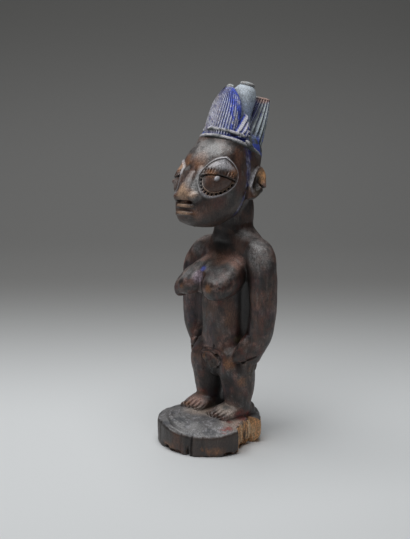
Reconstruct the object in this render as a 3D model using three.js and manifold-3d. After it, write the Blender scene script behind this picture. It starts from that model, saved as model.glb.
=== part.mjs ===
// A standing female twin figure of the Yoruba type, cut from one block of wood with its round base.
// Millimetres, +Z up. The origin is the middle of the base's underside, and the figure looks along -Y.
// The base has sizes of its own. The figure's carving is written in parts of its own height, and its
// heights are counted from the soles. Angles are in degrees.
import * as THREE from "three";
import { mergeVertices } from "three/addons/utils/BufferGeometryUtils.js";
import Module from "manifold-3d";

const FIGURE_HEIGHT = 257; // soles to the top of the hair's knob
const PARTS_TALL = 260; // the figure's height in parts
const BASE_RADIUS = 39.5;
const BASE_OVAL = 1.4; // how much the plan is longer towards the left side and the back
const BASE_HEIGHT = 23; // underside to the soles
const BASE_SWELL = 3; // how much the top falls from its middle to its rim
const BASE_FALL = 5.5; // how much more it falls to the rim in front of the left foot
const BASE_EDGE = 3; // worn round edge of the top
const BASE_FOOT = 1.5; // bevel round the underside
const BREAK_DEPTH = 8.5; // how deep the broken side is cut into the base
const CRACK_WIDTH = 1.6;
const CRACK_DEPTH = 11;
const CHIP_SHARE = 0.22; // height of the chip under the break, as a share of the base's

const part = FIGURE_HEIGHT / PARTS_TALL;

const wasm = await Module();
wasm.setup();

const radians = THREE.MathUtils.degToRad;

// A closed surface. place(turn, share) gives its point at a turn of the ring, from 0 to 1, and at a share
// of the way from one pole to the other. The ball's own triangles join the points.
function skin(ringSegments, rows, place) {
  const geometry = new THREE.SphereGeometry(1, ringSegments, rows);
  const position = geometry.attributes.position;
  for (let i = 0; i < position.count; i++) {
    const column = i % (ringSegments + 1);
    const row = Math.floor(i / (ringSegments + 1));
    const point = place((column % ringSegments) / ringSegments, row / rows);
    position.setXYZ(i, point.x, point.y, point.z);
  }
  return geometry;
}

// A geometry as a solid whose faces point outwards.
function solid(geometry) {
  const bare = geometry.clone();
  bare.deleteAttribute("normal");
  bare.deleteAttribute("uv");
  const merged = mergeVertices(bare, 1e-4);
  const triVerts = new Uint32Array(merged.index.array);
  const make = () =>
    new wasm.Manifold(
      new wasm.Mesh({ numProp: 3, vertProperties: merged.attributes.position.array, triVerts }),
    );
  let made = make();
  if (made.volume() < 0) {
    for (let i = 0; i < triVerts.length; i += 3) {
      [triVerts[i + 1], triVerts[i + 2]] = [triVerts[i + 2], triVerts[i + 1]];
    }
    made = make();
  }
  return made;
}

// How much lower the right shoulder was cut than the left, in parts, and where the fall sets in.
const SHOULDER_DROP = 7.5;
const DROP_ACROSS = [2, 24];
const DROP_UP = [80, 130];
const DROP_TOP = 152;

// A point of the figure, in parts, counted from the soles, as a point of the carving in millimetres.
function at(x, y, z) {
  const across = THREE.MathUtils.smoothstep(-x, ...DROP_ACROSS);
  const up = z < DROP_TOP ? THREE.MathUtils.smoothstep(z, ...DROP_UP) : 0;
  return new THREE.Vector3(x * part, y * part, (z - SHOULDER_DROP * across * up) * part + BASE_HEIGHT);
}

// A value read off a list of stations at a share of its length, on a smooth curve through the stations.
function along(stations, key, share) {
  const place = share * (stations.length - 1);
  const i = Math.min(Math.floor(place), stations.length - 2);
  const value = (j) => stations[THREE.MathUtils.clamp(j, 0, stations.length - 1)][key];
  const t = place - i;
  const [a, b, c, d] = [value(i - 1), value(i), value(i + 1), value(i + 2)];
  return b + 0.5 * t * (c - a + t * (2 * a - 5 * b + 4 * c - d + t * (3 * (b - c) + d - a)));
}

// A form carried along its stations, each x, y, z, the half widths across and deep, and the depth of what is
// cut into it. place(get, angle, swell) gives its point at an angle of the section from what get reads off
// the stations there. swell is 0 at the two closed ends and 1 between them.
function loft(stations, ringSegments, rows, place) {
  const list = stations.map(([x, y, z, wide, deep, cut = 0]) => ({ x, y, z, wide, deep, cut }));
  return solid(
    skin(ringSegments, rows, (turn, share) => {
      const step = THREE.MathUtils.clamp((share * rows - 1) / (rows - 2), 0, 1);
      const swell = share === 0 || share === 1 ? 0 : 1;
      return place((key) => along(list, key, step), turn * 2 * Math.PI, swell);
    }),
  );
}

// A limb whose sections are level ellipses.
function limb(stations, ringSegments, rows) {
  return loft(stations, ringSegments, rows, (get, angle, swell) =>
    at(
      get("x") + swell * get("wide") * Math.cos(angle),
      get("y") + swell * get("deep") * Math.sin(angle),
      get("z"),
    ),
  );
}

// A form that points forward, whose sections are upright ellipses.
function forwardLimb(stations, ringSegments, rows) {
  return loft(stations, ringSegments, rows, (get, angle, swell) =>
    at(
      get("x") + swell * get("wide") * Math.cos(angle),
      get("y"),
      get("z") + swell * get("deep") * Math.sin(angle),
    ),
  );
}

// A ball squashed to three half sizes, in parts.
function ball([x, y, z], [rx, ry, rz], ringSegments = 10, rows = 6) {
  const geometry = new THREE.SphereGeometry(1, ringSegments, rows).rotateX(Math.PI / 2);
  geometry.scale(rx * part, ry * part, rz * part);
  const centre = at(x, y, z);
  return solid(geometry.translate(centre.x, centre.y, centre.z));
}

// The stations of a form on the other side of the body.
function mirrored(stations, side) {
  return stations.map(([x, ...rest]) => [side * x, ...rest]);
}

function join(solids) {
  return solids.reduce((whole, piece) => whole.add(piece));
}

const both = (make) => [make(1), make(-1)];

// The base's plan: a slightly oval round cut with broad adze flats.
const BASE_FLATS = 11;
const BASE_FLATNESS = 0.55;
const BASE_FLAT_START = radians(-95);
const OVAL_TOWARDS = radians(45);

function basePlan(angle) {
  const flat = (2 * Math.PI) / BASE_FLATS;
  const within = THREE.MathUtils.euclideanModulo(angle - BASE_FLAT_START, flat) - flat / 2;
  const straight = Math.cos(flat / 2) / Math.cos(within);
  const oval = BASE_RADIUS + BASE_OVAL * Math.cos(2 * (angle - OVAL_TOWARDS));
  return oval * (1 + BASE_FLATNESS * (straight - 1));
}

// The base's top is a low swell that falls towards the front of its left side.
const FALL_TOWARDS = new THREE.Vector2(0.55, -0.835);

function baseTop(x, y) {
  const out = Math.hypot(x, y) / BASE_RADIUS;
  const ahead = Math.max(0, FALL_TOWARDS.x * x + FALL_TOWARDS.y * y) / BASE_RADIUS;
  return BASE_HEIGHT - BASE_SWELL * out ** 2 - BASE_FALL * ahead ** 2;
}

function base() {
  const profile = [
    [0, 0],
    [1 - BASE_FOOT / BASE_RADIUS, 0],
    [1, BASE_FOOT],
    [1, BASE_HEIGHT - 2 * BASE_EDGE],
    [1 - 0.3 * (BASE_EDGE / BASE_RADIUS), BASE_HEIGHT - BASE_EDGE],
    [1 - BASE_EDGE / BASE_RADIUS, BASE_HEIGHT],
    [0.55, BASE_HEIGHT],
    [0, BASE_HEIGHT],
  ].map(([reach, height]) => new THREE.Vector2(reach, height));
  const geometry = new THREE.LatheGeometry(profile, 33).rotateX(Math.PI / 2);
  const position = geometry.attributes.position;
  for (let i = 0; i < position.count; i++) {
    const reach = Math.hypot(position.getX(i), position.getY(i));
    const angle = Math.atan2(position.getY(i), position.getX(i));
    const radius = reach * basePlan(angle);
    const [x, y] = [radius * Math.cos(angle), radius * Math.sin(angle)];
    const height = position.getZ(i);
    const sunk = BASE_HEIGHT - baseTop(x, y);
    position.setXYZ(i, x, y, height > BASE_HEIGHT / 2 ? height - sunk : height);
  }
  return solid(geometry);
}

// A cut through the base. Its plan is given by points, each a distance from the middle and a bearing.
function plannedCut(points, height) {
  const corners = points.map(([reach, bearing]) => {
    const [x, y] = [Math.cos(radians(bearing)), Math.sin(radians(bearing))];
    return new THREE.Vector2(x, y).multiplyScalar(reach);
  });
  const depth = height + BASE_HEIGHT;
  const geometry = new THREE.ExtrudeGeometry(new THREE.Shape(corners), { depth, bevelEnabled: false });
  return solid(geometry.translate(0, 0, -BASE_HEIGHT));
}

// What time took from the base: the side broken away beside the left heel, with the crack that ends it,
// and a chip from under the break.
function baseLosses() {
  const outside = BASE_RADIUS + BREAK_DEPTH;
  const broken = BASE_RADIUS - BREAK_DEPTH;
  const cracked = BASE_RADIUS - CRACK_DEPTH;
  const crackTurn = CRACK_WIDTH / radians(cracked);
  return [
    plannedCut(
      [
        [outside, -17],
        [broken + 3.5, -13],
        [broken + 1.5, -2],
        [broken, 9],
        [broken + 0.5, 17],
        [broken + 2.5, 25],
        [cracked, 28],
        [cracked, 28 + 0.4 * crackTurn],
        [outside, 28 + crackTurn],
      ],
      2 * BASE_HEIGHT,
    ),
    plannedCut(
      [
        [outside, -8],
        [broken - 0.5, -3],
        [broken - 3.5, 12],
        [broken - 1.5, 23],
        [outside, 30],
      ],
      BASE_HEIGHT * CHIP_SHARE,
    ),
  ];
}

// Feet: a wedge that falls from the ankle to the toes, with the toes cut as furrows in its front.
// Each station is x, y, z, the half width, the height above and how deep the furrows are cut.
const FOOT = [
  [15.6, 30, -1, 4.5, 4.6, 0],
  [15.4, 26, -1, 7.8, 8.6, 0],
  [15.2, 18, -1, 9.2, 11, 0],
  [15.2, 9, -1, 9.2, 9.4, 0],
  [15.4, 2, -1, 9, 6, 0.5],
  [15.6, -3, -1, 9, 4.2, 1.1],
  [15.7, -7.5, -1, 8.6, 3, 1.2],
];
const FOOT_SUNK = 4;
const TOES = 5;

function foot(side) {
  return loft(FOOT, 20, 7, (get, angle, swell) => {
    const [level, rise] = [Math.cos(angle), Math.sin(angle)];
    const across = Math.sign(level) * Math.sqrt(Math.abs(level));
    const furrow = get("cut") * (0.5 + 0.5 * Math.cos((across + 1) * TOES * Math.PI));
    const round = Math.sqrt(Math.abs(rise));
    const height = swell * (rise > 0 ? get("deep") * round - furrow : -FOOT_SUNK * round);
    return at(side * (get("x") + swell * get("wide") * across), get("y"), get("z") + height);
  });
}

// Legs: short and heavy, swelling forward at the thigh and back at the calf.
const LEG = [
  [15.3, 15.5, 3, 8.6, 9],
  [15, 15.8, 10, 9.4, 9.8],
  [14.7, 16.8, 18, 11.4, 11.8],
  [14.4, 16.6, 27, 12.4, 13],
  [14.3, 15.2, 35, 12.8, 14.2],
  [14, 15, 43, 12.9, 15],
  [12.8, 16.4, 52, 11.6, 14.6],
  [10, 17, 60, 7, 10],
];

// Trunk: from between the thighs, over the hips and the drawn-in waist, to the shoulders.
const TRUNK = [
  [0, 17, 35, 5, 6],
  [0, 17, 41, 13.5, 12.5],
  [0, 17.5, 49, 19, 15.5],
  [0, 18, 58, 19.6, 16.4],
  [0, 18, 68, 18.6, 16.8],
  [0, 17.6, 79, 18, 17.2],
  [0, 17.4, 90, 18, 17.2],
  [0, 18, 101, 18.8, 16.6],
  [0, 19.4, 111, 21.4, 16],
  [0, 21.4, 120, 28, 15.2],
  [0, 23, 128, 32, 14.4],
  [0, 24.4, 135, 30.6, 13.6],
  [0, 25.4, 140.5, 25, 12.8],
  [0, 26.2, 145, 17, 12.4],
  [0, 26.5, 149, 13, 11.4],
];
const NECK = [
  [0, 26.4, 141, 15.6, 14],
  [0, 26.5, 149, 14.4, 14.4],
  [0, 26.5, 162, 14.4, 14.6],
  [0, 24, 176, 13, 14],
];
const BREAST = [
  [13, 14, 116.5, 11.5, 12],
  [14.2, 4, 114.5, 13.4, 11.6],
  [14.4, -4.5, 111, 12.8, 9.4],
  [14.4, -11, 108.8, 11, 7.2],
  [14.4, -16, 108, 7.6, 5.2],
  [14.6, -19, 107.8, 3.2, 2.8],
];
const BUTTOCK = { centre: [9.8, 28, 49], half: [11, 10, 13.5] };

// Arms: one sweep from the shoulder to the hand that lies against the hip.
const ARM = [
  [23, 25, 143, 4, 4.5],
  [28.4, 24.8, 138.5, 8.8, 9],
  [32.6, 24, 129, 10.8, 11],
  [34.6, 23.4, 117, 10.9, 11],
  [35, 22.8, 104, 10.4, 10.6],
  [34.2, 22, 91, 9.8, 10],
  [32.4, 21.2, 77, 9, 9.2],
  [30, 20.2, 64, 7.8, 8.2],
  [28.2, 18.6, 56, 6.2, 7.2],
  [27.4, 16.4, 50, 5.4, 7.4],
  [27.2, 15, 45, 4.6, 7.6],
];
const FINGER = [
  [27.6, 0, 49, 2.6, 2],
  [27.8, 0, 44, 2.9, 2.05],
  [27.6, 0, 39, 2.6, 1.9],
  [27.2, 0, 36.4, 1.6, 1.2],
];
const FINGER_PITCH = 3.7;
const THUMB = [
  [26, 15, 56, 3.4, 3.4],
  [24.8, 10.6, 52, 4.6, 4.4],
  [23.6, 8.2, 47, 4.6, 4.2],
  [22.8, 8.4, 42, 3, 2.8],
];

function arm(side) {
  const fingers = [0, 1, 2, 3].map((n) => {
    const shifted = FINGER.map(([x, , z, ...half]) => [
      x + (n === 0 ? -0.6 : 0),
      9.6 + n * FINGER_PITCH,
      z + (n === 3 ? 1.5 : 0),
      ...half,
    ]);
    return limb(mirrored(shifted, side), 6, 5);
  });
  return join([limb(mirrored(ARM, side), 12, 10), limb(mirrored(THUMB, side), 8, 6), ...fingers]);
}

// The low carved panel below the belly, a wedge with its point down.
const PANEL = { top: 54.5, bottom: 34, half: 11.5, front: 0.4, back: 9 };

function panel() {
  const outline = new THREE.Shape([
    new THREE.Vector2(-PANEL.half, PANEL.top - 2.5),
    new THREE.Vector2(0, PANEL.top),
    new THREE.Vector2(PANEL.half, PANEL.top - 2.5),
    new THREE.Vector2(4, PANEL.bottom + 3),
    new THREE.Vector2(-4, PANEL.bottom + 3),
  ]);
  const geometry = new THREE.ExtrudeGeometry(outline, { depth: PANEL.back - PANEL.front, bevelEnabled: false });
  geometry.rotateX(Math.PI / 2).translate(0, PANEL.back, 0);
  geometry.scale(part, part, part).translate(0, 0, BASE_HEIGHT);
  return solid(geometry);
}

// The head has a frame of its own, thrown back so that the chin leads and the hair leans behind.
const HEAD_MIDDLE = [0, 15, 193];
const HEAD_TILT = radians(20);

function headAt(x, y, z) {
  const [cx, cy, cz] = HEAD_MIDDLE;
  return at(
    cx + x,
    cy + y * Math.cos(HEAD_TILT) + z * Math.sin(HEAD_TILT),
    cz - y * Math.sin(HEAD_TILT) + z * Math.cos(HEAD_TILT),
  );
}

// Level sections of the head, from under the jaw to inside the hair: height, half width, front and back.
const HEAD = [
  [-44.5, 6, -21, -7],
  [-42.5, 10.5, -24.5, 0],
  [-38, 14.8, -27.4, 8],
  [-32, 17.8, -29.8, 16],
  [-25, 20, -31, 22],
  [-16, 21.6, -31.6, 26],
  [-6, 22.4, -32.2, 27.6],
  [4, 22.7, -32.4, 28],
  [12, 22.3, -28.8, 27.4],
  [19, 21.3, -24, 26],
  [27, 18, -19, 22],
  [34, 10, -10, 12],
].map(([z, wide, front, back]) => ({ z, wide, middle: (front + back) / 2, deep: (back - front) / 2 }));

// The head's surface at a share of its height and at a bearing from straight ahead, lifted outwards.
function headSurface(share, bearing, lift = 0) {
  const get = (key) => along(HEAD, key, share);
  const wide = get("wide") + lift;
  const deep = get("deep") + lift;
  return [wide * Math.sin(bearing), get("middle") - deep * Math.cos(bearing), get("z")];
}

// The share of the head's height at which its sections reach a given height.
function shareAt(z) {
  let [low, high] = [0, 1];
  for (let i = 0; i < 30; i++) {
    const middle = (low + high) / 2;
    if (along(HEAD, "z", middle) < z) low = middle;
    else high = middle;
  }
  return low;
}

function skull() {
  const rows = 15;
  return solid(
    skin(22, rows, (turn, share) => {
      const step = THREE.MathUtils.clamp((share * rows - 1) / (rows - 2), 0, 1);
      if (share === 0 || share === 1) return headAt(0, along(HEAD, "middle", step), along(HEAD, "z", step));
      return headAt(...headSurface(step, turn * 2 * Math.PI));
    }),
  );
}

// An eye wraps round the side of the face: a ball and a heavy lid that swell out of a raised rim, with a round
// boss for the pupil. The width is a half angle round the head, the rest is in parts. Each form is a patch
// given from its middle to its edge by pairs: a share of the eye's size, and a height over the head's skin.
const EYE = { bearing: radians(52.5), z: -6.5, halfTurn: radians(35.5), up: 18, down: 15 };
const EYE_RIM = [[0, 0.3], [0.8, 0.3], [0.86, 2], [1, 1.4], [1, -3]];
const EYE_BALL = [[0, 5], [0.3, 4.6], [0.56, 3.3], [0.74, 1], [0.74, -3]];
const EYE_LID = [[0, 5.9], [0.3, 5.4], [0.58, 4], [0.78, 1.3], [0.78, -3]];
const LID_EDGE = 0.06; // how far under the eye's middle line the lid reaches, as a share of the eye
const LID_POINT = 1.2; // how far past the middle the two arcs are centred that meet in the point above an eye
const PUPIL = { radius: 1.9, lift: 5.2 };

// The height of a pointed arch of half width 1 and height 1 at a distance from its middle.
function archHeight(across) {
  const reach = 1 + LID_POINT;
  return Math.sqrt(reach ** 2 - (Math.abs(across) + LID_POINT) ** 2) / Math.sqrt(reach ** 2 - LID_POINT ** 2);
}

// A patch on the head's skin, closed under it. Its upper half is a pointed arch and its lower half is round.
function patch(side, profile, down) {
  const ringSegments = 16;
  return solid(
    skin(ringSegments, profile.length, (turn, share) => {
      const ring = Math.min(Math.round(share * profile.length), profile.length - 1);
      const [size, lift] = share === 1 ? [0, profile[ring][1]] : profile[ring];
      const across = Math.cos(turn * 2 * Math.PI);
      const upper = turn > 0 && turn < 0.5;
      const height = upper ? EYE.up * archHeight(across) : down * Math.sin(turn * 2 * Math.PI);
      const bearing = EYE.bearing + across * size * EYE.halfTurn;
      const [x, y, z] = headSurface(shareAt(EYE.z + height * size), bearing, lift);
      return headAt(side * x, y, z);
    }),
  );
}

function eye(side) {
  const [x, y, z] = headSurface(shareAt(EYE.z), EYE.bearing, PUPIL.lift);
  const pupil = new THREE.SphereGeometry(PUPIL.radius * part, 8, 5);
  const centre = headAt(side * x, y, z);
  return join([
    patch(side, EYE_RIM, EYE.down),
    patch(side, EYE_BALL, EYE.down),
    patch(side, EYE_LID, EYE.down * LID_EDGE),
    solid(pupil.translate(centre.x, centre.y, centre.z)),
  ]);
}

// Nose: a ridge that widens to two broad wings.
const NOSE = [
  [0, -31.5, 0, 2.2, 2],
  [0, -33, -6, 2.6, 3],
  [0, -34, -13, 3.6, 4],
  [0, -34.4, -19, 5.4, 4.8],
  [0, -33.6, -24, 8, 5],
  [0, -33, -27, 8.6, 4.4],
  [0, -32, -28.6, 6, 3],
];
// Lips: two level bars that stand out from the muzzle and bend back with it.
const UPPER_LIP = { z: -31.6, half: 9.4, front: -33.4, thick: 2.3 };
const LOWER_LIP = { z: -37, half: 9, front: -32, thick: 2.4 };
const LIP_DEPTH = 3.4;
const LIP_BEND = 5;

function headLimb(stations, ringSegments, rows) {
  return loft(stations, ringSegments, rows, (get, angle, swell) =>
    headAt(
      get("x") + swell * get("wide") * Math.cos(angle),
      get("y") + swell * get("deep") * Math.sin(angle),
      get("z"),
    ),
  );
}

function lip({ z, half, front, thick }) {
  return solid(
    skin(6, 8, (turn, share) => {
      const across = -Math.cos(share * Math.PI);
      const swell = Math.sin(share * Math.PI);
      const angle = turn * 2 * Math.PI;
      const out = LIP_DEPTH * (1 - swell * Math.cos(angle)) + LIP_BEND * across * across;
      return headAt(half * across, front + out, z + thick * Math.sqrt(swell) * Math.sin(angle));
    }),
  );
}

// Ears: far back on the head, each a leaning oval with a hollow.
const EAR = { x: 21, y: 18, z: 0.5, half: 12.5, wide: 6.5, out: 5 };
const EAR_HOLLOW = { x: 27.2, y: 18.6, z: 0.5, half: 7.8, wide: 3.6, out: 2.6 };
const EAR_LEAN = 0.16;

function earOval(side, { x, y, z, half, wide, out }, ringSegments, rows) {
  return solid(
    skin(ringSegments, rows, (turn, share) => {
      const ring = Math.sin(share * Math.PI);
      const rise = half * Math.cos(share * Math.PI);
      const across = out * ring * Math.cos(turn * 2 * Math.PI);
      const back = wide * ring * Math.sin(turn * 2 * Math.PI);
      return headAt(side * (x + across), y + back - EAR_LEAN * rise, z + rise);
    }),
  );
}

function ear(side) {
  return earOval(side, EAR, 10, 6).subtract(earOval(side, EAR_HOLLOW, 8, 5));
}

// Hair: two cords round its foot, a middle cone with a knob, and fluted lobes before, behind and beside it.
const HAIR_FOOT = { z: 20.6, dip: 2.4, wide: 21.4, deep: 24.2, middle: 1 };
const CORD = { radius: 1.7, gap: 4.6, taper: 0.9 };
const CONE = [
  [0, 1, 18, 19, 22],
  [0, 1, 30, 16.5, 18],
  [0, 1.4, 44, 12.6, 13.4],
  [0, 2.2, 55, 9.6, 10],
  [0, 2.8, 62.5, 7.6, 7.6],
  [0, 3, 65.5, 5.6, 5.6],
  [0, 3, 66.2, 6.4, 6.4],
  [0, 3, 69.4, 6.2, 6.2],
  [0, 3, 70.4, 4.4, 4.4],
];
const FRONT_LOBE = [
  [0, -14, 14, 14.4, 9.8, 1.1],
  [0, -13.6, 34, 14.8, 9.6, 1.1],
  [0, -13, 46, 13.6, 8.8, 1.1],
  [0, -13.2, 54, 11, 7.2, 1.1],
  [0, -14, 60.4, 6.8, 4.8, 0.8],
  [0, -14.6, 63.4, 2.8, 2, 0.3],
];
const BACK_LOBE = [
  [0, 17, 14, 12, 7.8, 1.5],
  [0, 19, 34, 11.6, 7.6, 1.5],
  [0, 20.4, 47, 10.6, 6.8, 1.5],
  [0, 21, 58, 9.2, 5.6, 1.3],
  [0, 21.2, 62.5, 8.4, 5, 0.8],
];
const SIDE_LEAF = [
  [17, -5, 15, 4, 10],
  [15.6, -4.4, 29, 3.8, 7.2],
  [13.8, -3.4, 36, 3.2, 3.8],
  [12.2, -2.6, 42, 1.6, 1],
];

// A lobe whose skin is cut into upright flutes on the side that looks away from the cone: facing is 1 for
// the back and -1 for the front.
function flutedLobe(stations, flutes, facing, ringSegments, rows) {
  return loft(stations, ringSegments, rows, (get, angle, swell) => {
    const outward = THREE.MathUtils.clamp(facing * Math.sin(angle) + 0.4, 0, 1);
    const flute = get("cut") * outward * (0.5 - 0.5 * Math.cos(angle * flutes));
    const across = swell * (get("wide") - flute) * Math.cos(angle);
    const deep = swell * (get("deep") - flute) * Math.sin(angle);
    return headAt(get("x") + across, get("y") + deep, get("z"));
  });
}

// A cord round the foot of the hair: a ring whose section goes round a path that goes round the head.
function cord(z, grow, radius) {
  const [sides, steps] = [6, 32];
  const geometry = new THREE.TorusGeometry(1, 0.5, sides, steps);
  const position = geometry.attributes.position;
  const { wide, deep, middle } = HAIR_FOOT;
  for (let i = 0; i < position.count; i++) {
    const bearing = ((i % (steps + 1)) % steps) * ((2 * Math.PI) / steps);
    const round = (Math.floor(i / (steps + 1)) % sides) * ((2 * Math.PI) / sides);
    const out = grow + radius * Math.cos(round);
    const point = headAt(
      (wide + out) * Math.sin(bearing),
      middle - (deep + out) * Math.cos(bearing),
      z + HAIR_FOOT.dip * Math.cos(bearing) + radius * Math.sin(round),
    );
    position.setXYZ(i, point.x, point.y, point.z);
  }
  return solid(geometry);
}

// The short band across both cords on the left side, where they are tied.
const KNOT = [
  [21.8, -6.5, 17.5, 1.4, 1.4],
  [22.6, -4, 20, 2.2, 2.4],
  [22.2, -1, 24, 2.2, 2.4],
  [20.8, 1.5, 28, 1.4, 1.4],
];

function hair() {
  return join([
    headLimb(CONE, 14, 10),
    flutedLobe(FRONT_LOBE, 14, -1, 42, 6),
    flutedLobe(BACK_LOBE, 10, 1, 30, 6),
    ...both((side) => headLimb(mirrored(SIDE_LEAF, side), 8, 5)),
    cord(HAIR_FOOT.z, 1, CORD.radius),
    cord(HAIR_FOOT.z + CORD.gap, 0, CORD.radius * CORD.taper),
    headLimb(KNOT, 6, 5),
  ]);
}

// A solid as a named mesh of wood.
function wood(name, whole, colour) {
  const made = whole.getMesh();
  const vertices = new Float32Array(made.numVert * 3);
  for (let i = 0; i < made.numVert; i++) {
    vertices.set(made.vertProperties.subarray(i * made.numProp, i * made.numProp + 3), i * 3);
  }
  const geometry = new THREE.BufferGeometry()
    .setAttribute("position", new THREE.BufferAttribute(vertices, 3))
    .setIndex(new THREE.BufferAttribute(made.triVerts, 1));
  geometry.computeVertexNormals();
  const material = new THREE.MeshStandardMaterial({ color: colour, roughness: 0.5, metalness: 0 });
  const mesh = new THREE.Mesh(geometry, material);
  mesh.name = name;
  return mesh;
}

const pieces = [
  base(),
  ...both(foot),
  ...both((side) => limb(mirrored(LEG, side), 12, 7)),
  limb(TRUNK, 16, 12),
  ...both((side) => forwardLimb(mirrored(BREAST, side), 12, 7)),
  ...both((side) => ball([side * BUTTOCK.centre[0], BUTTOCK.centre[1], BUTTOCK.centre[2]], BUTTOCK.half)),
  ...both(arm),
  panel(),
  limb(NECK, 12, 5),
  skull(),
  ...both(eye),
  headLimb(NOSE, 8, 8),
  lip(UPPER_LIP),
  lip(LOWER_LIP),
  ...both(ear),
  hair(),
];
const figure = baseLosses().reduce((whole, cut) => whole.subtract(cut), join(pieces));

const carving = new THREE.Group();
carving.add(wood("ibeji_figure", figure, 0x3b2a20));

export default carving;
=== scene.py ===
"""A carved ibeji figure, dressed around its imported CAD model.

The carving is one branching surface, which no grid of two parameters can follow. So its forms are written
as signed distances, melted into one another as a carver rounds one form into the next, and the surface
where the distance is nothing is drawn out of a grid of points by whole-array numpy. The low relief, such as
lash cuts, notches, hair grooves, toes and torn wood, is part of the same distance.

Heights are in parts of the figure counted from its soles, as in the CAD source, unless a name says mm.
"""

import logging
import math
from dataclasses import dataclass
from enum import Enum
from functools import cached_property
from typing import Callable, Protocol

import bpy
import numpy as np
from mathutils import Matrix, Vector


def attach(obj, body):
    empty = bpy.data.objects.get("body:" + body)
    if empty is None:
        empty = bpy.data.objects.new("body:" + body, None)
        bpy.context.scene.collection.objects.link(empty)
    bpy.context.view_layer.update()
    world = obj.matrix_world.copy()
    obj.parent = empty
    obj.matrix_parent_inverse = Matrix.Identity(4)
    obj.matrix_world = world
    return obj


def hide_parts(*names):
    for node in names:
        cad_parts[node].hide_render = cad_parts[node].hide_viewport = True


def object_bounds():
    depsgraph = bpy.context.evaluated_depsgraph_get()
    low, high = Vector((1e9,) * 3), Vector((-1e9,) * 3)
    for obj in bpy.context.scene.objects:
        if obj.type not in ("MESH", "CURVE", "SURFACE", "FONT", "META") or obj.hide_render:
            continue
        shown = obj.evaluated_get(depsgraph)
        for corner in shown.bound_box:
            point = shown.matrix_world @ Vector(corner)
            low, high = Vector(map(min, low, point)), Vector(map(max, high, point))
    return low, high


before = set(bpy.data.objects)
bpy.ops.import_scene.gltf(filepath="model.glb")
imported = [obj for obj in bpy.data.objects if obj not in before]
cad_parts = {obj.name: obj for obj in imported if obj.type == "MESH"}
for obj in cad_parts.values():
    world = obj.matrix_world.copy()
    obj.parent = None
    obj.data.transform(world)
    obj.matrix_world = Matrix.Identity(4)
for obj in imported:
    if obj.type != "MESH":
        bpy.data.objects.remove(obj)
CAD_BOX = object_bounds()

LOG = logging.getLogger("ibeji")
Array = np.ndarray
Socket = bpy.types.NodeSocket
Box = tuple[Array, Array]
Rows = tuple[tuple[float, ...], ...]
Span = tuple[float, float]
Place = tuple[float, float, float]
Colour = tuple[float, float, float]
NODE = "ibeji_figure"
PART_MM = 257 / 260
SOLES_MM = 23.0
PITCH_MM = 0.4
FAR = 30.0
REACH = 3.2


class Region(Enum):
    """The form of the carving that a place belongs to."""

    TRUNK = 0
    BREAST = 1
    ARM = 2
    LEG = 3
    PANEL = 4
    FOOT = 5
    BASE = 6
    FACE = 7
    NOSE = 8
    LIPS = 9
    EAR = 10
    FRONT_LOBE = 11
    BACK_LOBE = 12
    CONE = 13
    CAP = 14
    CORD = 15
    LEAF = 16


HAIR = (Region.FRONT_LOBE, Region.BACK_LOBE, Region.CONE, Region.CAP, Region.CORD, Region.LEAF)


class Runs(Enum):
    """The axis that a form's sections are set along, with the two axes that each section lies in."""

    UP = (2, 0, 1)
    AHEAD = (1, 0, 2)
    ACROSS = (0, 1, 2)


# Numbers over arrays


def ramp(value: Array, low: float, high: float) -> Array:
    """A smooth rise from 0 at low to 1 at high."""
    share = np.clip((value - low) / (high - low), 0.0, 1.0)
    return share * share * (3.0 - 2.0 * share)


def bump(value: Array, middle: float, half: float) -> Array:
    """A smooth hump, 1 at middle and nothing beyond half on either side."""
    share = np.clip(1.0 - np.abs(value - middle) / half, 0.0, 1.0)
    return share * share * (3.0 - 2.0 * share)


def melt(first: Array, second: Array, width: float) -> Array:
    """The lesser of two distances, rounded where they are within width of each other.

    Args:
        first: One form's distances.
        second: The other form's distances.
        width: How wide the fillet between them is.

    Returns:
        min(a, b) - width * s * (1 - s), where s runs from 0 to 1 with (b - a) / width + 1/2.
    """
    share = np.clip(0.5 + 0.5 * (second - first) / width, 0.0, 1.0)
    return second + (first - second) * share - width * share * (1.0 - share)


def carve(whole: Array, cut: Array, width: float) -> Array:
    """What is left of a form when another is cut from it, with the edge rounded over width."""
    return -melt(-whole, cut, width)


def scatter(cells: Array, seed: int) -> Array:
    """A fixed random number from 0 to 1 for each whole-number cell, by mixing its three numbers' bits."""
    mixed = cells[:, 0] * 73856093 ^ cells[:, 1] * 19349663 ^ cells[:, 2] * 83492791 ^ (seed * 2654435761)
    mixed &= 0xFFFFFFFF
    mixed = ((mixed ^ (mixed >> 15)) * 2246822519) & 0xFFFFFFFF
    mixed = ((mixed ^ (mixed >> 13)) * 3266489917) & 0xFFFFFFFF
    return ((mixed ^ (mixed >> 16)) & 0xFFFFFF).astype(np.float32) / 0x1000000


def grain(places: Array, size: Place, seed: int) -> Array:
    """Smooth noise from -1 to 1 whose lumps have the given size.

    Args:
        places: Points, one to a row.
        size: The lumps' size along each axis.
        seed: Which noise.

    Returns:
        One value to a point: the random numbers at the corners of its cell, mixed by smooth shares.
    """
    spread = places / np.asarray(size, np.float32)
    cell = np.floor(spread).astype(np.int64)
    share = (spread - cell).astype(np.float32)
    share = share * share * (3.0 - 2.0 * share)
    total = np.zeros(len(places), np.float32)
    for corner in range(8):
        step = np.array([corner & 1, corner >> 1 & 1, corner >> 2 & 1])
        weight = np.prod(np.where(step, share, 1.0 - share), axis=1)
        total += weight * scatter(cell + step, seed)
    return 2.0 * total - 1.0


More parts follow.
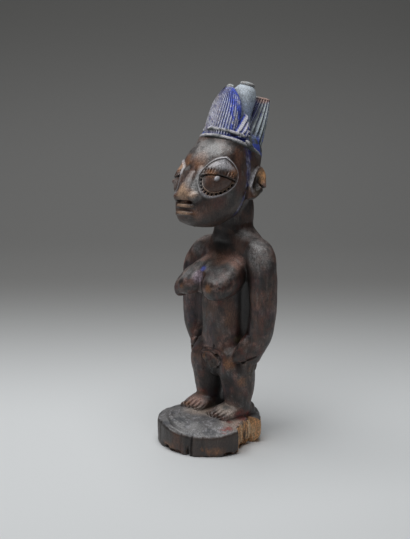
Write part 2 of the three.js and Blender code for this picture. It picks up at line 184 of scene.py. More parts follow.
def smooth_rows(rows: Rows, between: int = 24) -> Array:
    """A table of stations filled in on a smooth curve through them.

    Args:
        rows: The stations, one to a row.
        between: How many steps lie between two stations.

    Returns:
        The filled table, by the cubic curve through four neighbouring rows, the outer ones repeated.
    """
    table = np.asarray(rows, float)
    padded = np.vstack([table[:1], table, table[-1:]])
    place = np.linspace(0, len(table) - 1, between * (len(table) - 1) + 1)
    first = np.minimum(place.astype(int), len(table) - 2)
    t = (place - first)[:, None]
    a, b, c, d = (padded[first + step] for step in range(4))
    return b + 0.5 * t * (c - a + t * (2 * a - 5 * b + 4 * c - d + t * (3 * (b - c) + d - a)))


# Forms, each a signed distance over places


class Form(Protocol):
    """Something with a box and a signed distance, negative inside."""

    def box(self) -> Box:
        """The lowest and highest corner."""
        ...

    def distance(self, places: Array) -> Array:
        """The signed distance of each place."""
        ...


@dataclass(frozen=True)
class Loft:
    """Oval sections carried along one axis on smooth curves.

    Each row of stations is x, y, z, half wide and half deep. Power 2 gives ovals, and more squares them
    off. Caps are the lengths over which the first and the last end close to a round tip. Relief gives a
    height over the skin from the section's angle and the place along the run.
    """

    stations: Rows
    runs: Runs = Runs.UP
    power: float = 2.0
    caps: Span = (0.0, 0.0)
    relief: Callable[[Array, Array, Array], Array] | None = None

    @cached_property
    def table(self) -> Array:
        """Columns of run, two middles, two half widths and the slope of the skin, in the run's order."""
        run, wide_axis, deep_axis = self.runs.value
        rows = smooth_rows(self.stations)
        rows = rows[np.argsort(rows[:, run], kind="stable")]
        along = rows[:, run]
        closing = np.ones(len(rows))
        for cap, depth in zip(self.caps, (along - along[0], along[-1] - along)):
            if cap:
                closing *= np.sqrt(np.clip(1.0 - (1.0 - np.clip(depth / cap, 0, 1)) ** 2, 1e-3, 1))
        wide, deep = rows[:, 3] * closing, rows[:, 4] * closing
        steady = along + 1e-6 * np.arange(len(along))
        slope = np.abs(np.gradient(0.5 * (rows[:, 3] + rows[:, 4]), steady))
        columns = [along, rows[:, wide_axis], rows[:, deep_axis], wide, deep, np.minimum(slope, 1.3)]
        return np.stack(columns, 1).astype(np.float32)

    def box(self) -> Box:
        """The box round every section."""
        run, wide_axis, deep_axis = self.runs.value
        table, low, high = self.table, np.zeros(3), np.zeros(3)
        low[run], high[run] = table[0, 0], table[-1, 0]
        for axis, middle, half in ((wide_axis, 1, 3), (deep_axis, 2, 4)):
            low[axis] = (table[:, middle] - table[:, half]).min()
            high[axis] = (table[:, middle] + table[:, half]).max()
        return low, high

    def distance(self, places: Array) -> Array:
        """The distance to first order: (r - 1) / |gradient of r| in the section, and past the ends."""
        run, wide_axis, deep_axis = self.runs.value
        table = self.table
        along = places[:, run]
        held = np.clip(along, table[0, 0], table[-1, 0])
        middle, other, wide, deep, slope = (np.interp(held, table[:, 0], table[:, n]) for n in range(1, 6))
        across = ((places[:, wide_axis] - middle) / wide).astype(np.float32)
        back = ((places[:, deep_axis] - other) / deep).astype(np.float32)
        if self.power == 2.0:
            round_ = np.sqrt(across**2 + back**2) + 1e-6
            steep = np.sqrt((across / wide) ** 2 + (back / deep) ** 2) + 1e-6
            side = (round_ - 1.0) * round_ / steep
        else:
            wide_part, deep_part = np.abs(across) + 1e-4, np.abs(back) + 1e-4
            round_ = (wide_part**self.power + deep_part**self.power) ** (1 / self.power)
            powers = (wide_part / round_) ** (self.power - 1), (deep_part / round_) ** (self.power - 1)
            side = (round_ - 1.0) / np.sqrt((powers[0] / wide) ** 2 + (powers[1] / deep) ** 2)
        side = side / np.sqrt(1.0 + slope**2)
        if self.relief is not None:
            side = side - self.relief(across, back, along)
        beyond = np.maximum(table[0, 0] - along, along - table[-1, 0])
        outside = np.hypot(np.maximum(side, 0.0), np.maximum(beyond, 0.0))
        inside = np.maximum(side, beyond)
        return np.where(inside < 0, inside, outside).astype(np.float32)


@dataclass(frozen=True)
class Ball:
    """A ball squashed to three half sizes and leant along y as it rises."""

    centre: Place
    half: Place
    lean: float = 0.0

    def box(self) -> Box:
        """The box round the ball."""
        centre, half = np.asarray(self.centre), np.asarray(self.half)
        half = half + np.array([0.0, abs(self.lean) * half[2], 0.0])
        return centre - half, centre + half

    def distance(self, places: Array) -> Array:
        """(r - 1) times r over the length of the gradient of r."""
        offset = places - np.asarray(self.centre, np.float32)
        offset[:, 1] += self.lean * offset[:, 2]
        share = offset / np.asarray(self.half, np.float32)
        reach = np.sqrt((share**2).sum(1)) + 1e-6
        steep = np.sqrt(((share / np.asarray(self.half, np.float32)) ** 2).sum(1)) + 1e-6
        return (reach - 1.0) * reach / steep


@dataclass(frozen=True)
class Ring:
    """A cord round the head: a round section carried along an oval that rises at the sides and dips behind.

    The cord lies only over its spans of bearings, which are counted in radians from straight ahead.
    """

    middle: float
    wide: float
    deep: float
    height: float
    waves: tuple[Span, ...]
    radius: float
    spans: tuple[Span, ...] = ()

    def box(self) -> Box:
        """The box round the ring."""
        out = self.radius
        swing = sum(math.hypot(*wave) for wave in self.waves)
        low = (-self.wide - out, self.middle - self.deep - out, self.height - swing - out)
        high = (self.wide + out, self.middle + self.deep + out, self.height + swing + out)
        return np.array(low), np.array(high)

    def over(self, places: Array) -> Array:
        """How far places lie above the cord's middle at their bearing."""
        bearing = np.arctan2(places[:, 0] / self.wide, -(places[:, 1] - self.middle) / self.deep)
        rise = places[:, 2] - self.height
        for number, (even, odd) in enumerate(self.waves, 1):
            rise = rise - even * np.cos(number * bearing) - odd * np.sin(number * bearing)
        return rise

    def distance(self, places: Array) -> Array:
        """The distance from the nearest point of the path at the same bearing, less the radius."""
        across, ahead = places[:, 0] / self.wide, (self.middle - places[:, 1]) / self.deep
        bearing = np.arctan2(across, ahead)
        reach = np.hypot(across, ahead) + 1e-6
        out = (reach - 1.0) * reach / (np.hypot(across / self.wide, ahead / self.deep) + 1e-6)
        rise = self.over(places)
        away = np.hypot(out, rise) - self.radius
        if not self.spans:
            return away
        past = np.min([np.maximum(low - bearing, bearing - high) for low, high in self.spans], axis=0)
        return np.hypot(np.maximum(away, 0.0), np.maximum(past * self.deep, 0.0)) + np.minimum(away, 0.0)


@dataclass(frozen=True)
class Block:
    """A plate: an outline of straight sides in the x, z plane, counter-clockwise, between two depths in y.

    Its front leans back by a share of the height below its middle.
    """

    corners: tuple[Span, ...]
    front: float
    back: float
    lean: float = 0.0

    def box(self) -> Box:
        """The box round the plate."""
        outline = np.asarray(self.corners)
        low, high = outline.min(0), outline.max(0)
        return np.array([low[0], self.front, low[1]]), np.array([high[0], self.back, high[1]])

    def distance(self, places: Array) -> Array:
        """The greatest of the distances to the sides' lines and to the two faces."""
        outline = np.asarray(self.corners)
        middle = outline[:, 1].mean()
        front = self.front + self.lean * (middle - places[:, 2])
        away = np.maximum(front - places[:, 1], places[:, 1] - self.back)
        for start, end in zip(outline, np.roll(outline, -1, axis=0)):
            along = (end - start) / np.linalg.norm(end - start)
            side = (places[:, 0] - start[0]) * along[1] - (places[:, 2] - start[1]) * along[0]
            away = np.maximum(away, side)
        return away.astype(np.float32)


@dataclass(frozen=True)
class Both:
    """A form on the left side and its mirror image on the right."""

    form: Form

    def box(self) -> Box:
        """The box round both."""
        low, high = self.form.box()
        return np.array([-high[0], low[1], low[2]]), high

    def distance(self, places: Array) -> Array:
        """The left form's distance, measured with x taken without its sign."""
        folded = places.copy()
        folded[:, 0] = np.abs(folded[:, 0])
        return self.form.distance(folded)


class Clay:
    """The signed distance of the growing carving at a set of places, and the form each place is nearest."""

    def __init__(self, places: Array) -> None:
        """Starts with nothing there."""
        self.places = places.astype(np.float32)
        self.distance = np.full(len(places), FAR, np.float32)
        self.region = np.zeros(len(places), np.int8)

    def near(self, box: Box, reach: float) -> Array:
        """The numbers of the places within reach of a box."""
        low, high = box
        inside = np.ones(len(self.places), bool)
        for axis in range(3):
            inside &= self.places[:, axis] > low[axis] - reach
            inside &= self.places[:, axis] < high[axis] + reach
        return np.flatnonzero(inside)

    def put(self, near: Array, distance: Array, region: int | Array, width: float) -> None:
        """Melts distances at some of the places into what is there.

        Args:
            near: The numbers of the places.
            distance: The new form's distance at each.
            region: The region of the new form, or one for each place.
            width: How wide the fillet is.
        """
        nearer = distance < self.distance[near]
        self.region[near] = np.where(nearer, region, self.region[near])
        self.distance[near] = melt(self.distance[near], distance, width)

    def add(self, form: Form, region: Region, width: float = 1.0) -> None:
        """Melts a form into the carving."""
        near = self.near(form.box(), REACH + width)
        if near.size:
            self.put(near, form.distance(self.places[near]), region.value, width)

    def cut(self, form: Form, width: float = 0.4) -> None:
        """Cuts a form out of the carving."""
        near = self.near(form.box(), REACH)
        if near.size:
            self.distance[near] = carve(self.distance[near], form.distance(self.places[near]), width)

    def press(self, box: Box, depth: Callable[[Array, Array], Array]) -> None:
        """Sinks the skin within a box by a depth that is a function of places and their regions."""
        near = self.near(box, 0.0)
        if near.size:
            self.distance[near] += depth(self.places[near], self.region[near])


def corners(*values: float) -> Box:
    """A box from its lowest x, y, z and its highest x, y, z."""
    return np.array(values[:3]), np.array(values[3:])


# The figure's sub-assemblies


@dataclass(frozen=True)
class Base:
    """The oval block that the figure stands on, in millimetres, with its adze flats and its losses."""

    radius: float = 39.5
    oval: float = 1.4
    oval_towards: float = math.radians(45)
    height: float = 23.0
    swell: float = 2.6
    fall: float = 5.5
    fall_towards: Span = (0.55, -0.835)
    # The rim behind the left side is cut lower and pulled in.
    droop: float = 4.0
    pulled: float = 4.0
    droop_towards: float = math.radians(168)
    flats: int = 11
    flatness: float = 0.4
    flat_start: float = math.radians(-95)
    # Bearing in degrees and how far out the wood still reaches on the broken side and under it.
    broken: Rows = (
        (-10.5, 48), (-10, 40), (-7, 35), (-2, 33), (9, 31), (17, 31.5), (25, 33.5), (27.6, 31),
        (28, 28.2), (30, 28.2), (31.6, 33), (32.4, 39), (34, 48),
    )
    undercut: Rows = ((-9, 48), (-8, 42), (-3, 30.5), (12, 27.5), (23, 29.5), (29, 40), (30, 48))
    undercut_height: float = 5.0
    # The corner beside the broken side is rubbed round: bearing and half width in degrees, and depth.
    worn_corner: Place = (38, 34, 4.4)
    # Chips under the rim: bearing in degrees, half width, height and depth.
    chips: Rows = (
        (-104, 6, 5.5, 3.2), (-93, 5, 3.6, 2.6), (-84, 4, 4.6, 2.2), (-71, 2.6, 12, 2.2),
        (-22, 5.5, 4.2, 3.4), (-10, 4, 3.6, 2.6), (62, 5, 3, 2.4), (118, 6, 3.4, 2.2), (-160, 6, 3.4, 2.4),
    )
    # Cracks in the side: bearing in degrees, height of the lower end, height of the upper end and depth.
    cracks: Rows = (
        (-66, 1, 15, 1.1), (-53, 6, 19, 0.5), (-80, 3, 16, 0.5), (-118, 4, 18, 0.7), (2, 2, 20, 1.0),
        (15, 3, 20, 1.2), (70, 3, 17, 0.8), (140, 2, 16, 0.9),
    )
    # How widely the torn edge, the rim and the foot of the block are rounded.
    torn_round: float = 0.5
    rim_round: float = 2.8
    foot_round: float = 1.6

    def box(self) -> Box:
        """The base's box, in parts."""
        reach = (self.radius + self.oval + 2) / PART_MM
        return corners(-reach, -reach, -SOLES_MM / PART_MM, reach, reach, 3.0)

    def plan(self, bearing: Array) -> Array:
        """The plan's reach at a bearing: an oval pulled in towards a polygon's straight sides."""
        flat = 2 * math.pi / self.flats
        within = np.mod(bearing - self.flat_start, flat) - flat / 2
        straight = math.cos(flat / 2) / np.cos(within)
        oval = self.radius + self.oval * np.cos(2 * (bearing - self.oval_towards))
        cut = self.pulled * ramp(np.cos(bearing - self.droop_towards), 0.8, 1.0)
        return oval * (1 + self.flatness * (straight - 1)) - cut

    def top(self, x: Array, y: Array) -> Array:
        """The top's height: a low swell that falls towards the front of the left side."""
        out = np.hypot(x, y) / self.radius
        ahead = np.maximum(0, self.fall_towards[0] * x + self.fall_towards[1] * y) / self.radius
        cos, sin = math.cos(self.droop_towards), math.sin(self.droop_towards)
        aside = np.maximum(0, cos * x + sin * y) / self.radius
        return self.height - self.swell * out**3 - self.fall * ahead**3 - self.droop * aside**4

    def distance(self, places: Array) -> Array:
        """The greatest of the distances to side, top and underside, with rounded edges."""
        x, y = places[:, 0] * PART_MM, places[:, 1] * PART_MM
        z = places[:, 2] * PART_MM + SOLES_MM
        bearing, out = np.arctan2(y, x), np.hypot(x, y)
        degrees = np.degrees(bearing)
        round_ = np.stack([bearing * 38, np.zeros_like(z), z], 1)
        level = np.stack([x, y, np.zeros_like(z)], 1)
        plan = self.plan(bearing) + self.tooling(round_)
        torn = np.interp(degrees, *np.asarray(self.broken).T)
        splinter = 1.0 * grain(round_, (1.7, 1, 12), 11) + 0.6 * grain(round_, (0.8, 1, 5), 12)
        rounded = self.worn_corner[2] * bump(degrees, *self.worn_corner[:2])
        rounded = rounded * (ramp(-z, -9, 0) ** 2 + 0.5 * ramp(z, 16, 23) ** 2)
        plan, torn = plan - rounded, torn - rounded
        under = np.interp(degrees, *np.asarray(self.undercut).T)
        torn = np.where(z < self.undercut_height + 0.8 * splinter, np.minimum(torn, under), torn)
        side = carve(out - plan, torn + splinter - out, self.torn_round)
        for middle, half, height, depth in self.chips:
            bite = bump(degrees, middle, half * 1.5) * ramp(-z, -height, -0.3 * height)
            side = side + depth * bite * (1 + 0.5 * grain(round_ + 9, (1.6, 1, 1.6), 13))
        for middle, low, high, depth in self.cracks:
            wander = 0.9 * grain(round_, (60, 1, 5), 16)
            line = bump(degrees, middle + wander, 1.5) * ramp(z, low - 2, low) * ramp(-z, -high - 3, -high)
            side = side + depth * line
        top = z - self.top(x, y) + self.weathering(level)
        away = -melt(-side, -top, self.rim_round)
        return (-melt(-away, z, self.foot_round)).astype(np.float32)

    @staticmethod
    def tooling(round_: Array) -> Array:
        """Upright adze and knife marks on the side, from places unrolled round it."""
        return 0.24 * grain(round_, (5.0, 1, 30), 14) + 0.09 * grain(round_, (1.3, 1, 16), 15)

    @staticmethod
    def grain_arcs(places: Array, spread: Span, ahead: Span) -> Array:
        """Arcs of opened grain on the top near the front rim.

        Args:
            places: Points in millimetres from the middle of the base.
            spread: The noise at which an arc begins and at which it is full.
            ahead: The bearing where they are strongest and how far round they reach, in radians.
        """
        bearing, out = np.arctan2(places[:, 1], places[:, 0]), np.hypot(places[:, 0], places[:, 1])
        arcs = ramp(grain(np.stack([out, bearing * 9, out * 0], 1), (1.3, 7, 1), 20), *spread)
        return arcs * ramp(out, 14, 24) * bump(bearing, *ahead)

    @staticmethod
    def weathering(level: Array) -> Array:
        """How far the top is worn down: soft hollows, small pits, and arcs of opened grain near the rim."""
        worn = 0.4 * grain(level, (9, 9, 1), 17) + 0.1 * grain(level, (3, 3, 1), 18)
        return worn + 0.45 * Base.grain_arcs(level, (0.3, 0.75), (-1.9, 0.8))

    def join(self, clay: Clay) -> None:
        """Puts the base into the carving."""
        clay.add(self, Region.BASE, 0.9)


@dataclass(frozen=True)
class Legs:
    """Short heavy legs, the feet with five toes each, the buttocks and the loin panel."""

    leg: Rows = (
        (16.2, 15.8, 1, 9.6, 9.6), (16.2, 15.8, 3, 9.8, 9.8), (16, 16, 10, 10.8, 10.4),
        (15.8, 16.6, 18, 12.6, 12.4), (15.6, 16.2, 27, 13.5, 13.8), (15.4, 15, 35, 13.9, 15),
        (14.6, 15, 43, 13.5, 15.6), (12.8, 16.4, 52, 11.6, 14.6), (10, 17, 60, 7, 10),
    )
    foot: Rows = (
        (15.6, 30, -1, 4.5, 4.6), (15.4, 26, -1, 7.8, 8.6),
        (15.4, 18, -1, 9.6, 11), (15.2, 9, -1, 10.4, 9.6),
        (14.8, 2, -1, 11, 7), (14.4, -3, -1.4, 11, 5), (14.2, -7, -1.8, 10.4, 3.7),
    )
    # How far the feet's fronts are carried towards the figure's right.
    foot_swing: float = 0.1
    toes: int = 5
    toe_depth: float = 1.7
    toe_run: Span = (-2.5, 1.0)
    buttock: Place = (9.8, 28, 49)
    buttock_half: Place = (11, 10, 13.5)
    panel: tuple[Span, ...] = (
        (-8.8, 50), (-7.6, 45), (-4, 40.6), (1.3, 38), (6.3, 37.4), (10.8, 40), (13, 45), (13.6, 49.4),
        (4, 51.8), (0.2, 51), (-3.2, 52.4),
    )
    panel_front: float = -0.9
    panel_back: float = 9.0
    panel_lean: float = -0.12
    crotch: Rows = ((0, 12, 28, 5, 7), (1, 9, 36, 6, 8), (1, 9, 44, 8, 8))

    def toe_furrows(self, across: Array, back: Array, along: Array) -> Array:
        """Furrows that run back from the front of the foot: minus a cosine comb across the foot."""
        comb = 0.5 + 0.5 * np.cos((across + 1) * self.toes * math.pi)
        between = np.where(np.abs(across) < 0.93, comb**2, 0.0)
        depth = self.toe_depth * ramp(-along, *self.toe_run)
        nail = 0.45 * bump(along, -5.2, 2.4)
        return -depth * between * ramp(back, -0.3, 0.4) + nail * (1 - between)

    @staticmethod
    def pitted(places: Array, _: Array) -> Array:
        """Pits and crust on the panel's face under its ledge."""
        pits = 0.9 * ramp(grain(places, (1.9, 3, 1.7), 21), 0.1, 0.5) + 0.3 * grain(places, (3, 3, 3), 22)
        return (0.7 * pits + 0.5) * ramp(-places[:, 2], -49.4, -47.6)

    @staticmethod
    def belly_edge(places: Array, _: Array) -> Array:
        """The cut that parts the belly's lower edge from the panel, with a nick over its middle."""
        x, z = places[:, 0], places[:, 2]
        edge = bump(z, 53.2 - 0.02 * (x - 3) ** 2, 1.1) * ramp(x, -9, -7) * ramp(-x, -16, -13)
        return 0.5 * edge + 2.2 * bump(x, 3.2, 0.9) * bump(z, 55.4, 2.2)

    def join(self, clay: Clay) -> None:
        """Puts legs, feet, buttocks and panel into the carving."""
        clay.add(Both(Loft(self.leg)), Region.LEG, 3.0)
        clay.add(Both(Ball(self.buttock, self.buttock_half)), Region.TRUNK, 4.0)
        for side in (-1, 1):
            rows = tuple((side * x + self.foot_swing * (y - 16), y, *rest) for x, y, *rest in self.foot)
            clay.add(Loft(rows, Runs.AHEAD, 3.2, (1.6, 2.0), self.toe_furrows), Region.FOOT, 1.6)
        clay.add(Loft(self.crotch, caps=(3.0, 0.0)), Region.LEG, 3.0)
        panel = Block(self.panel, self.panel_front, self.panel_back, self.panel_lean)
        clay.add(panel, Region.PANEL, 1.2)
        clay.press(corners(-9, -4, 33, 13, 4, 50.5), self.pitted)
        clay.press(corners(-9, -6, 50, 16, 6, 60), self.belly_edge)


@dataclass(frozen=True)
class Trunk:
    """Trunk, neck and breasts."""

    trunk: Rows = (
        (0, 17, 35, 5, 6), (0, 17, 41, 13.5, 12.5), (0, 17.5, 49, 19, 15.5), (0, 18, 58, 20, 16.6),
        (0, 18, 68, 19.4, 17), (0, 17.8, 79, 19, 17.4), (0, 17.8, 90, 19.2, 17.6), (0, 18.4, 101, 20, 17.2),
        (0, 19.8, 111, 22.4, 16.6), (0, 21.4, 120, 28, 15.4),
        (0, 23, 128, 32, 14.4), (0, 24.4, 135, 30.6, 13.6),
        (0, 25.4, 140.5, 25, 12.8), (0, 26.2, 145, 17, 12.4), (0, 26.5, 149, 13, 11.4),
    )
    neck: Rows = (
        (0, 26.4, 141, 15.6, 14), (0, 27.2, 149, 15, 15), (0, 27.6, 162, 15, 15.6), (0, 25.5, 176, 14, 15),
    )
    breast: Rows = (
        (13, 14, 115.6, 12, 13), (14.2, 4, 112.8, 14, 13.6), (14.2, -3.5, 110, 13.8, 12),
        (14.2, -8.4, 108.4, 12.4, 10.2), (14.2, -12.2, 107.6, 9.8, 8.2),
        (14.3, -14.6, 107.4, 7.0, 6.4), (14.3, -16.6, 107.2, 3.4, 3.2),
    )
    # The left shoulder runs up higher to the neck than the right.
    slope: Place = (14, 27, 139)
    slope_half: Place = (12, 10, 10)
    between: Rows = (
        (0, 12, 117, 13, 13), (0, 3, 113.4, 12, 12), (0, -4, 110, 11, 10.6), (0, -8.6, 108.4, 8, 8),
    )

    @staticmethod
    def cleft(places: Array, _: Array) -> Array:
        """The cut between the breasts."""
        x, z = places[:, 0], places[:, 2]
        wander = 0.8 * grain(places, (50, 50, 5), 24)
        return 1.3 * bump(x, wander, 1.1) * ramp(z, 97, 100) * ramp(-z, -122, -112)

    def join(self, clay: Clay) -> None:
        """Puts trunk, neck and breasts into the carving."""
        clay.add(Loft(self.trunk), Region.TRUNK, 1.0)
        clay.add(Loft(self.neck), Region.TRUNK, 5.0)
        clay.add(Ball(self.slope, self.slope_half), Region.TRUNK, 5.0)
        clay.add(Loft(self.between, Runs.AHEAD, 2.0, (2.0, 0.0)), Region.TRUNK, 3.0)
        clay.add(Both(Loft(self.breast, Runs.AHEAD, 2.2, (3.0, 0.0))), Region.BREAST, 2.4)
        clay.press(corners(-3, -16, 96, 3, 6, 122), self.cleft)


@dataclass(frozen=True)
class Arms:
    """Arms in one sweep to hands that lie against the hips, with four fingers and a thumb."""

    arm: Rows = (
        (23, 25, 143.6, 4, 4.5), (28.4, 24.8, 139.2, 8.8, 9), (32.4, 24, 130, 11, 11.2),
        (34.4, 23.4, 118, 10.9, 11.2), (35, 23.2, 104, 10.3, 11), (35.2, 23, 91, 10, 10.8),
        (34.8, 22.4, 77, 9.8, 10.4), (32.8, 21.4, 64, 9.2, 9.8), (30.4, 20, 55, 8.2, 9.2),
        (28.6, 18.8, 48, 6.4, 8.2), (27.6, 18, 41, 4.8, 7.2),
    )
    finger: Rows = (
        (28, 0, 56, 2.6, 2.2), (28.6, 0, 48, 3.6, 2.25), (28, 0, 41, 3.4, 2.15), (27, 0, 35, 2.4, 1.7),
    )
    finger_start: float = 10.6
    finger_pitch: float = 3.7
    finger_inward: tuple[float, ...] = (-0.9, 0.0, 0.0, -0.5)
    finger_lift: tuple[float, ...] = (0.0, -0.6, -0.4, 0.6)
    thumb: Rows = (
        (29, 17.5, 68, 5, 6), (27.4, 13.4, 61, 6, 6.8), (25.4, 10, 54, 6, 6.2), (24.2, 8.2, 49, 5.2, 5),
        (23.8, 8, 45.4, 3.4, 3.6),
    )
    # The far hand lies closer in, so its thumb shows less.
    far_thumb: Rows = (
        (-29.5, 19, 68, 4, 5), (-28.6, 16.5, 60, 4.6, 5.6), (-27.6, 14.5, 52, 4.4, 5), (-27, 14, 47, 3, 4),
    )
    # Thin wood left between each arm and the trunk, and behind each hand.
    web: Rows = ((22, 23, 60, 6, 6), (22.5, 23, 76, 6.5, 6), (22.5, 23, 100, 6.5, 6), (23, 24, 120, 7, 6))
    hand_web: Rows = ((22, 20, 43, 4, 4), (23, 20.5, 50, 5.4, 5.6), (23, 23, 62, 6, 7))

    @staticmethod
    def palm_edge(places: Array, region: Array) -> Array:
        """The crease from under the thumb up over the side of the hand."""
        x, y, z = np.abs(places[:, 0]), places[:, 1], places[:, 2]
        line = z - (46.5 + 0.62 * (y - 8) + 0.012 * (y - 8) ** 2)
        crease = bump(line, 0, 1.3) * ramp(y, 7, 9) * ramp(-y, -27, -22) * ramp(x, 22, 25)
        return 1.1 * crease * (region == Region.ARM.value)

    def join(self, clay: Clay) -> None:
        """Puts both arms with their hands into the carving."""
        clay.add(Both(Loft(self.web)), Region.TRUNK, 4.0)
        clay.add(Both(Loft(self.hand_web)), Region.TRUNK, 3.0)
        clay.add(Both(Loft(self.arm, caps=(6.0, 0.0))), Region.ARM, 3.2)
        for number, (inward, lift) in enumerate(zip(self.finger_inward, self.finger_lift)):
            back = self.finger_start + number * self.finger_pitch
            rows = tuple((x + inward, back, z + lift, wide, deep) for x, _, z, wide, deep in self.finger)
            clay.add(Both(Loft(rows, caps=(1.8, 3.0))), Region.ARM, 0.5)
        clay.add(Loft(self.thumb, caps=(2.4, 0.0)), Region.ARM, 1.4)
        clay.add(Loft(self.far_thumb, caps=(2.4, 0.0)), Region.ARM, 2.4)
        clay.press(corners(-36, 5, 40, 36, 30, 66), self.palm_edge)


@dataclass(frozen=True)
class Eye:
    """The relief of an eye on the skin of the head, in parts along the skin from the eye's middle.

    A raised rim runs round it, a pointed arch above and a narrowed oval below. Inside lie a domed lid
    with lash cuts, a ball with a boss, and a band of notches under the ball.
    """

    bearing: float = math.radians(50.3)
    height: float = -9.5
    head_radius: float = 27.4
    turned: float = math.radians(-4)
    half: float = 14.8
    up: float = 16.4
    down: float = 16.2
    point: float = 2.4
    lower_power: float = 1.85
    line: float = 0.9
    sag: float = 1.3
    lash_pitch: float = 2.1
    lash_length: float = 4.6
    notches: int = 13
    boss: Span = (-0.5, -1.8)
    boss_half: Span = (1.7, 2.1)
    boss_height: float = 1.2
    # How high lid and ball stand over the head's skin at each reach, and the reach at which they end.
    lid: Rows = ((0, 5.6), (0.3, 5.3), (0.58, 4.6), (0.76, 3.5), (0.86, 2.6), (0.94, 1.7))
    lid_edge: float = 0.84
    ball: Rows = ((0, 4.9), (0.3, 4.5), (0.5, 3.7), (0.66, 2.4), (0.72, 1.5))
    ball_edge: float = 0.72
    lash_depth: float = 0.8
    line_depth: float = 1.2
    # Bands round the ball, as their middle reach and half width: a bead and the notched band outside it.
    bead: Span = (0.755, 0.05)
    notched: Span = (0.845, 0.075)
    notch_depth: float = 1.9
    # The raised rim and the soft step outside it.
    rim: Span = (0.97, 0.09)
    rim_height: float = 1.7
    outer: Span = (1.05, 0.2)
    outer_height: float = 0.4

    def reach(self, across: Array, rise: Array) -> Array:
        """How far out a place is, 1 on the rim: the scale of the outline that passes through it.

        Below the middle that is a power sum of the two shares, which narrows the oval. Above it is the
        positive root of the quadratic for a pointed arch, whose two arcs are centred a share of the half
        width past the middle.
        """
        over, up, down = np.abs(across) / self.half, rise / self.up, np.abs(rise) / self.down
        k = self.point
        whole = 1 + 2 * k
        arch = (k * over + np.sqrt((k * over) ** 2 + whole * (over**2 + whole * up**2))) / whole
        below = (over**self.lower_power + down**self.lower_power) ** (1 / self.lower_power)
        return np.where(rise > 0, arch, below)

    def flat(self, bearing: Array, rise: Array) -> tuple[Array, Array]:
        """Distances across and up the eye from its middle, turned with it."""
        u, v = (bearing - self.bearing) * self.head_radius, rise - self.height
        cos, sin = math.cos(self.turned), math.sin(self.turned)
        return u * cos + v * sin, v * cos - u * sin

    def over_line(self, across: Array, up: Array) -> Array:
        """How far a place lies above the lower edge of the upper lid, which sags towards both corners."""
        return up - self.line + self.sag * (across / self.half) ** 2

    def pits(self, across: Array, up: Array) -> Array:
        """The notches under the ball, 1 in each and 0 between, spaced by the angle round the eye."""
        turn = np.arctan2(-up / self.down, across / self.half)
        return ramp(np.cos(2 * self.notches * turn), -0.1, 0.35)

    def relief(self, bearing: Array, rise: Array) -> Array:
        """The height over the head's skin.

        Args:
            bearing: Bearings from straight ahead, without sign.
            rise: Heights in the head's frame.

        Returns:
            The sum of rim, lid, lash cuts, ball, boss and notched band, each in its own part of the eye.
        """
        across, up = self.flat(bearing, rise)
        reach = self.reach(across, up)
        from_line = self.over_line(across, up)
        on_lid = ramp(from_line, -0.2, 0.2)
        lid = np.interp(reach, *np.asarray(self.lid).T)
        lashes = 0.5 + 0.5 * np.cos(2 * math.pi * across / self.lash_pitch)
        fringe = ramp(from_line, 0.2, 0.8) * ramp(-from_line, -self.lash_length, 0.8 - self.lash_length)
        worn = 0.15 + 0.85 * ramp(np.abs(across + 0.5), 2.5, 5.0)
        lid = lid - self.lash_depth * lashes**1.4 * fringe * worn * (reach < self.lid_edge)
        ball = np.interp(reach, *np.asarray(self.ball).T)
        from_boss = (across - self.boss[0]) / self.boss_half[0], (up - self.boss[1]) / self.boss_half[1]
        ball = ball + self.boss_height * np.sqrt(np.clip(1 - np.hypot(*from_boss) ** 2, 0, 1))
        ball = ball - self.line_depth * bump(from_line, -0.5, 0.75)
        band = bump(reach, *self.bead) + (reach > self.ball_edge)
        band = band - self.notch_depth * self.pits(across, up) * bump(reach, *self.notched)
        lower = np.where(reach < self.ball_edge, ball, band)
        inside = on_lid * lid + (1 - on_lid) * lower
        rim = self.rim_height * bump(reach, *self.rim) + self.outer_height * bump(reach, *self.outer)
        return rim + inside * ramp(-reach, -0.97, -0.93)


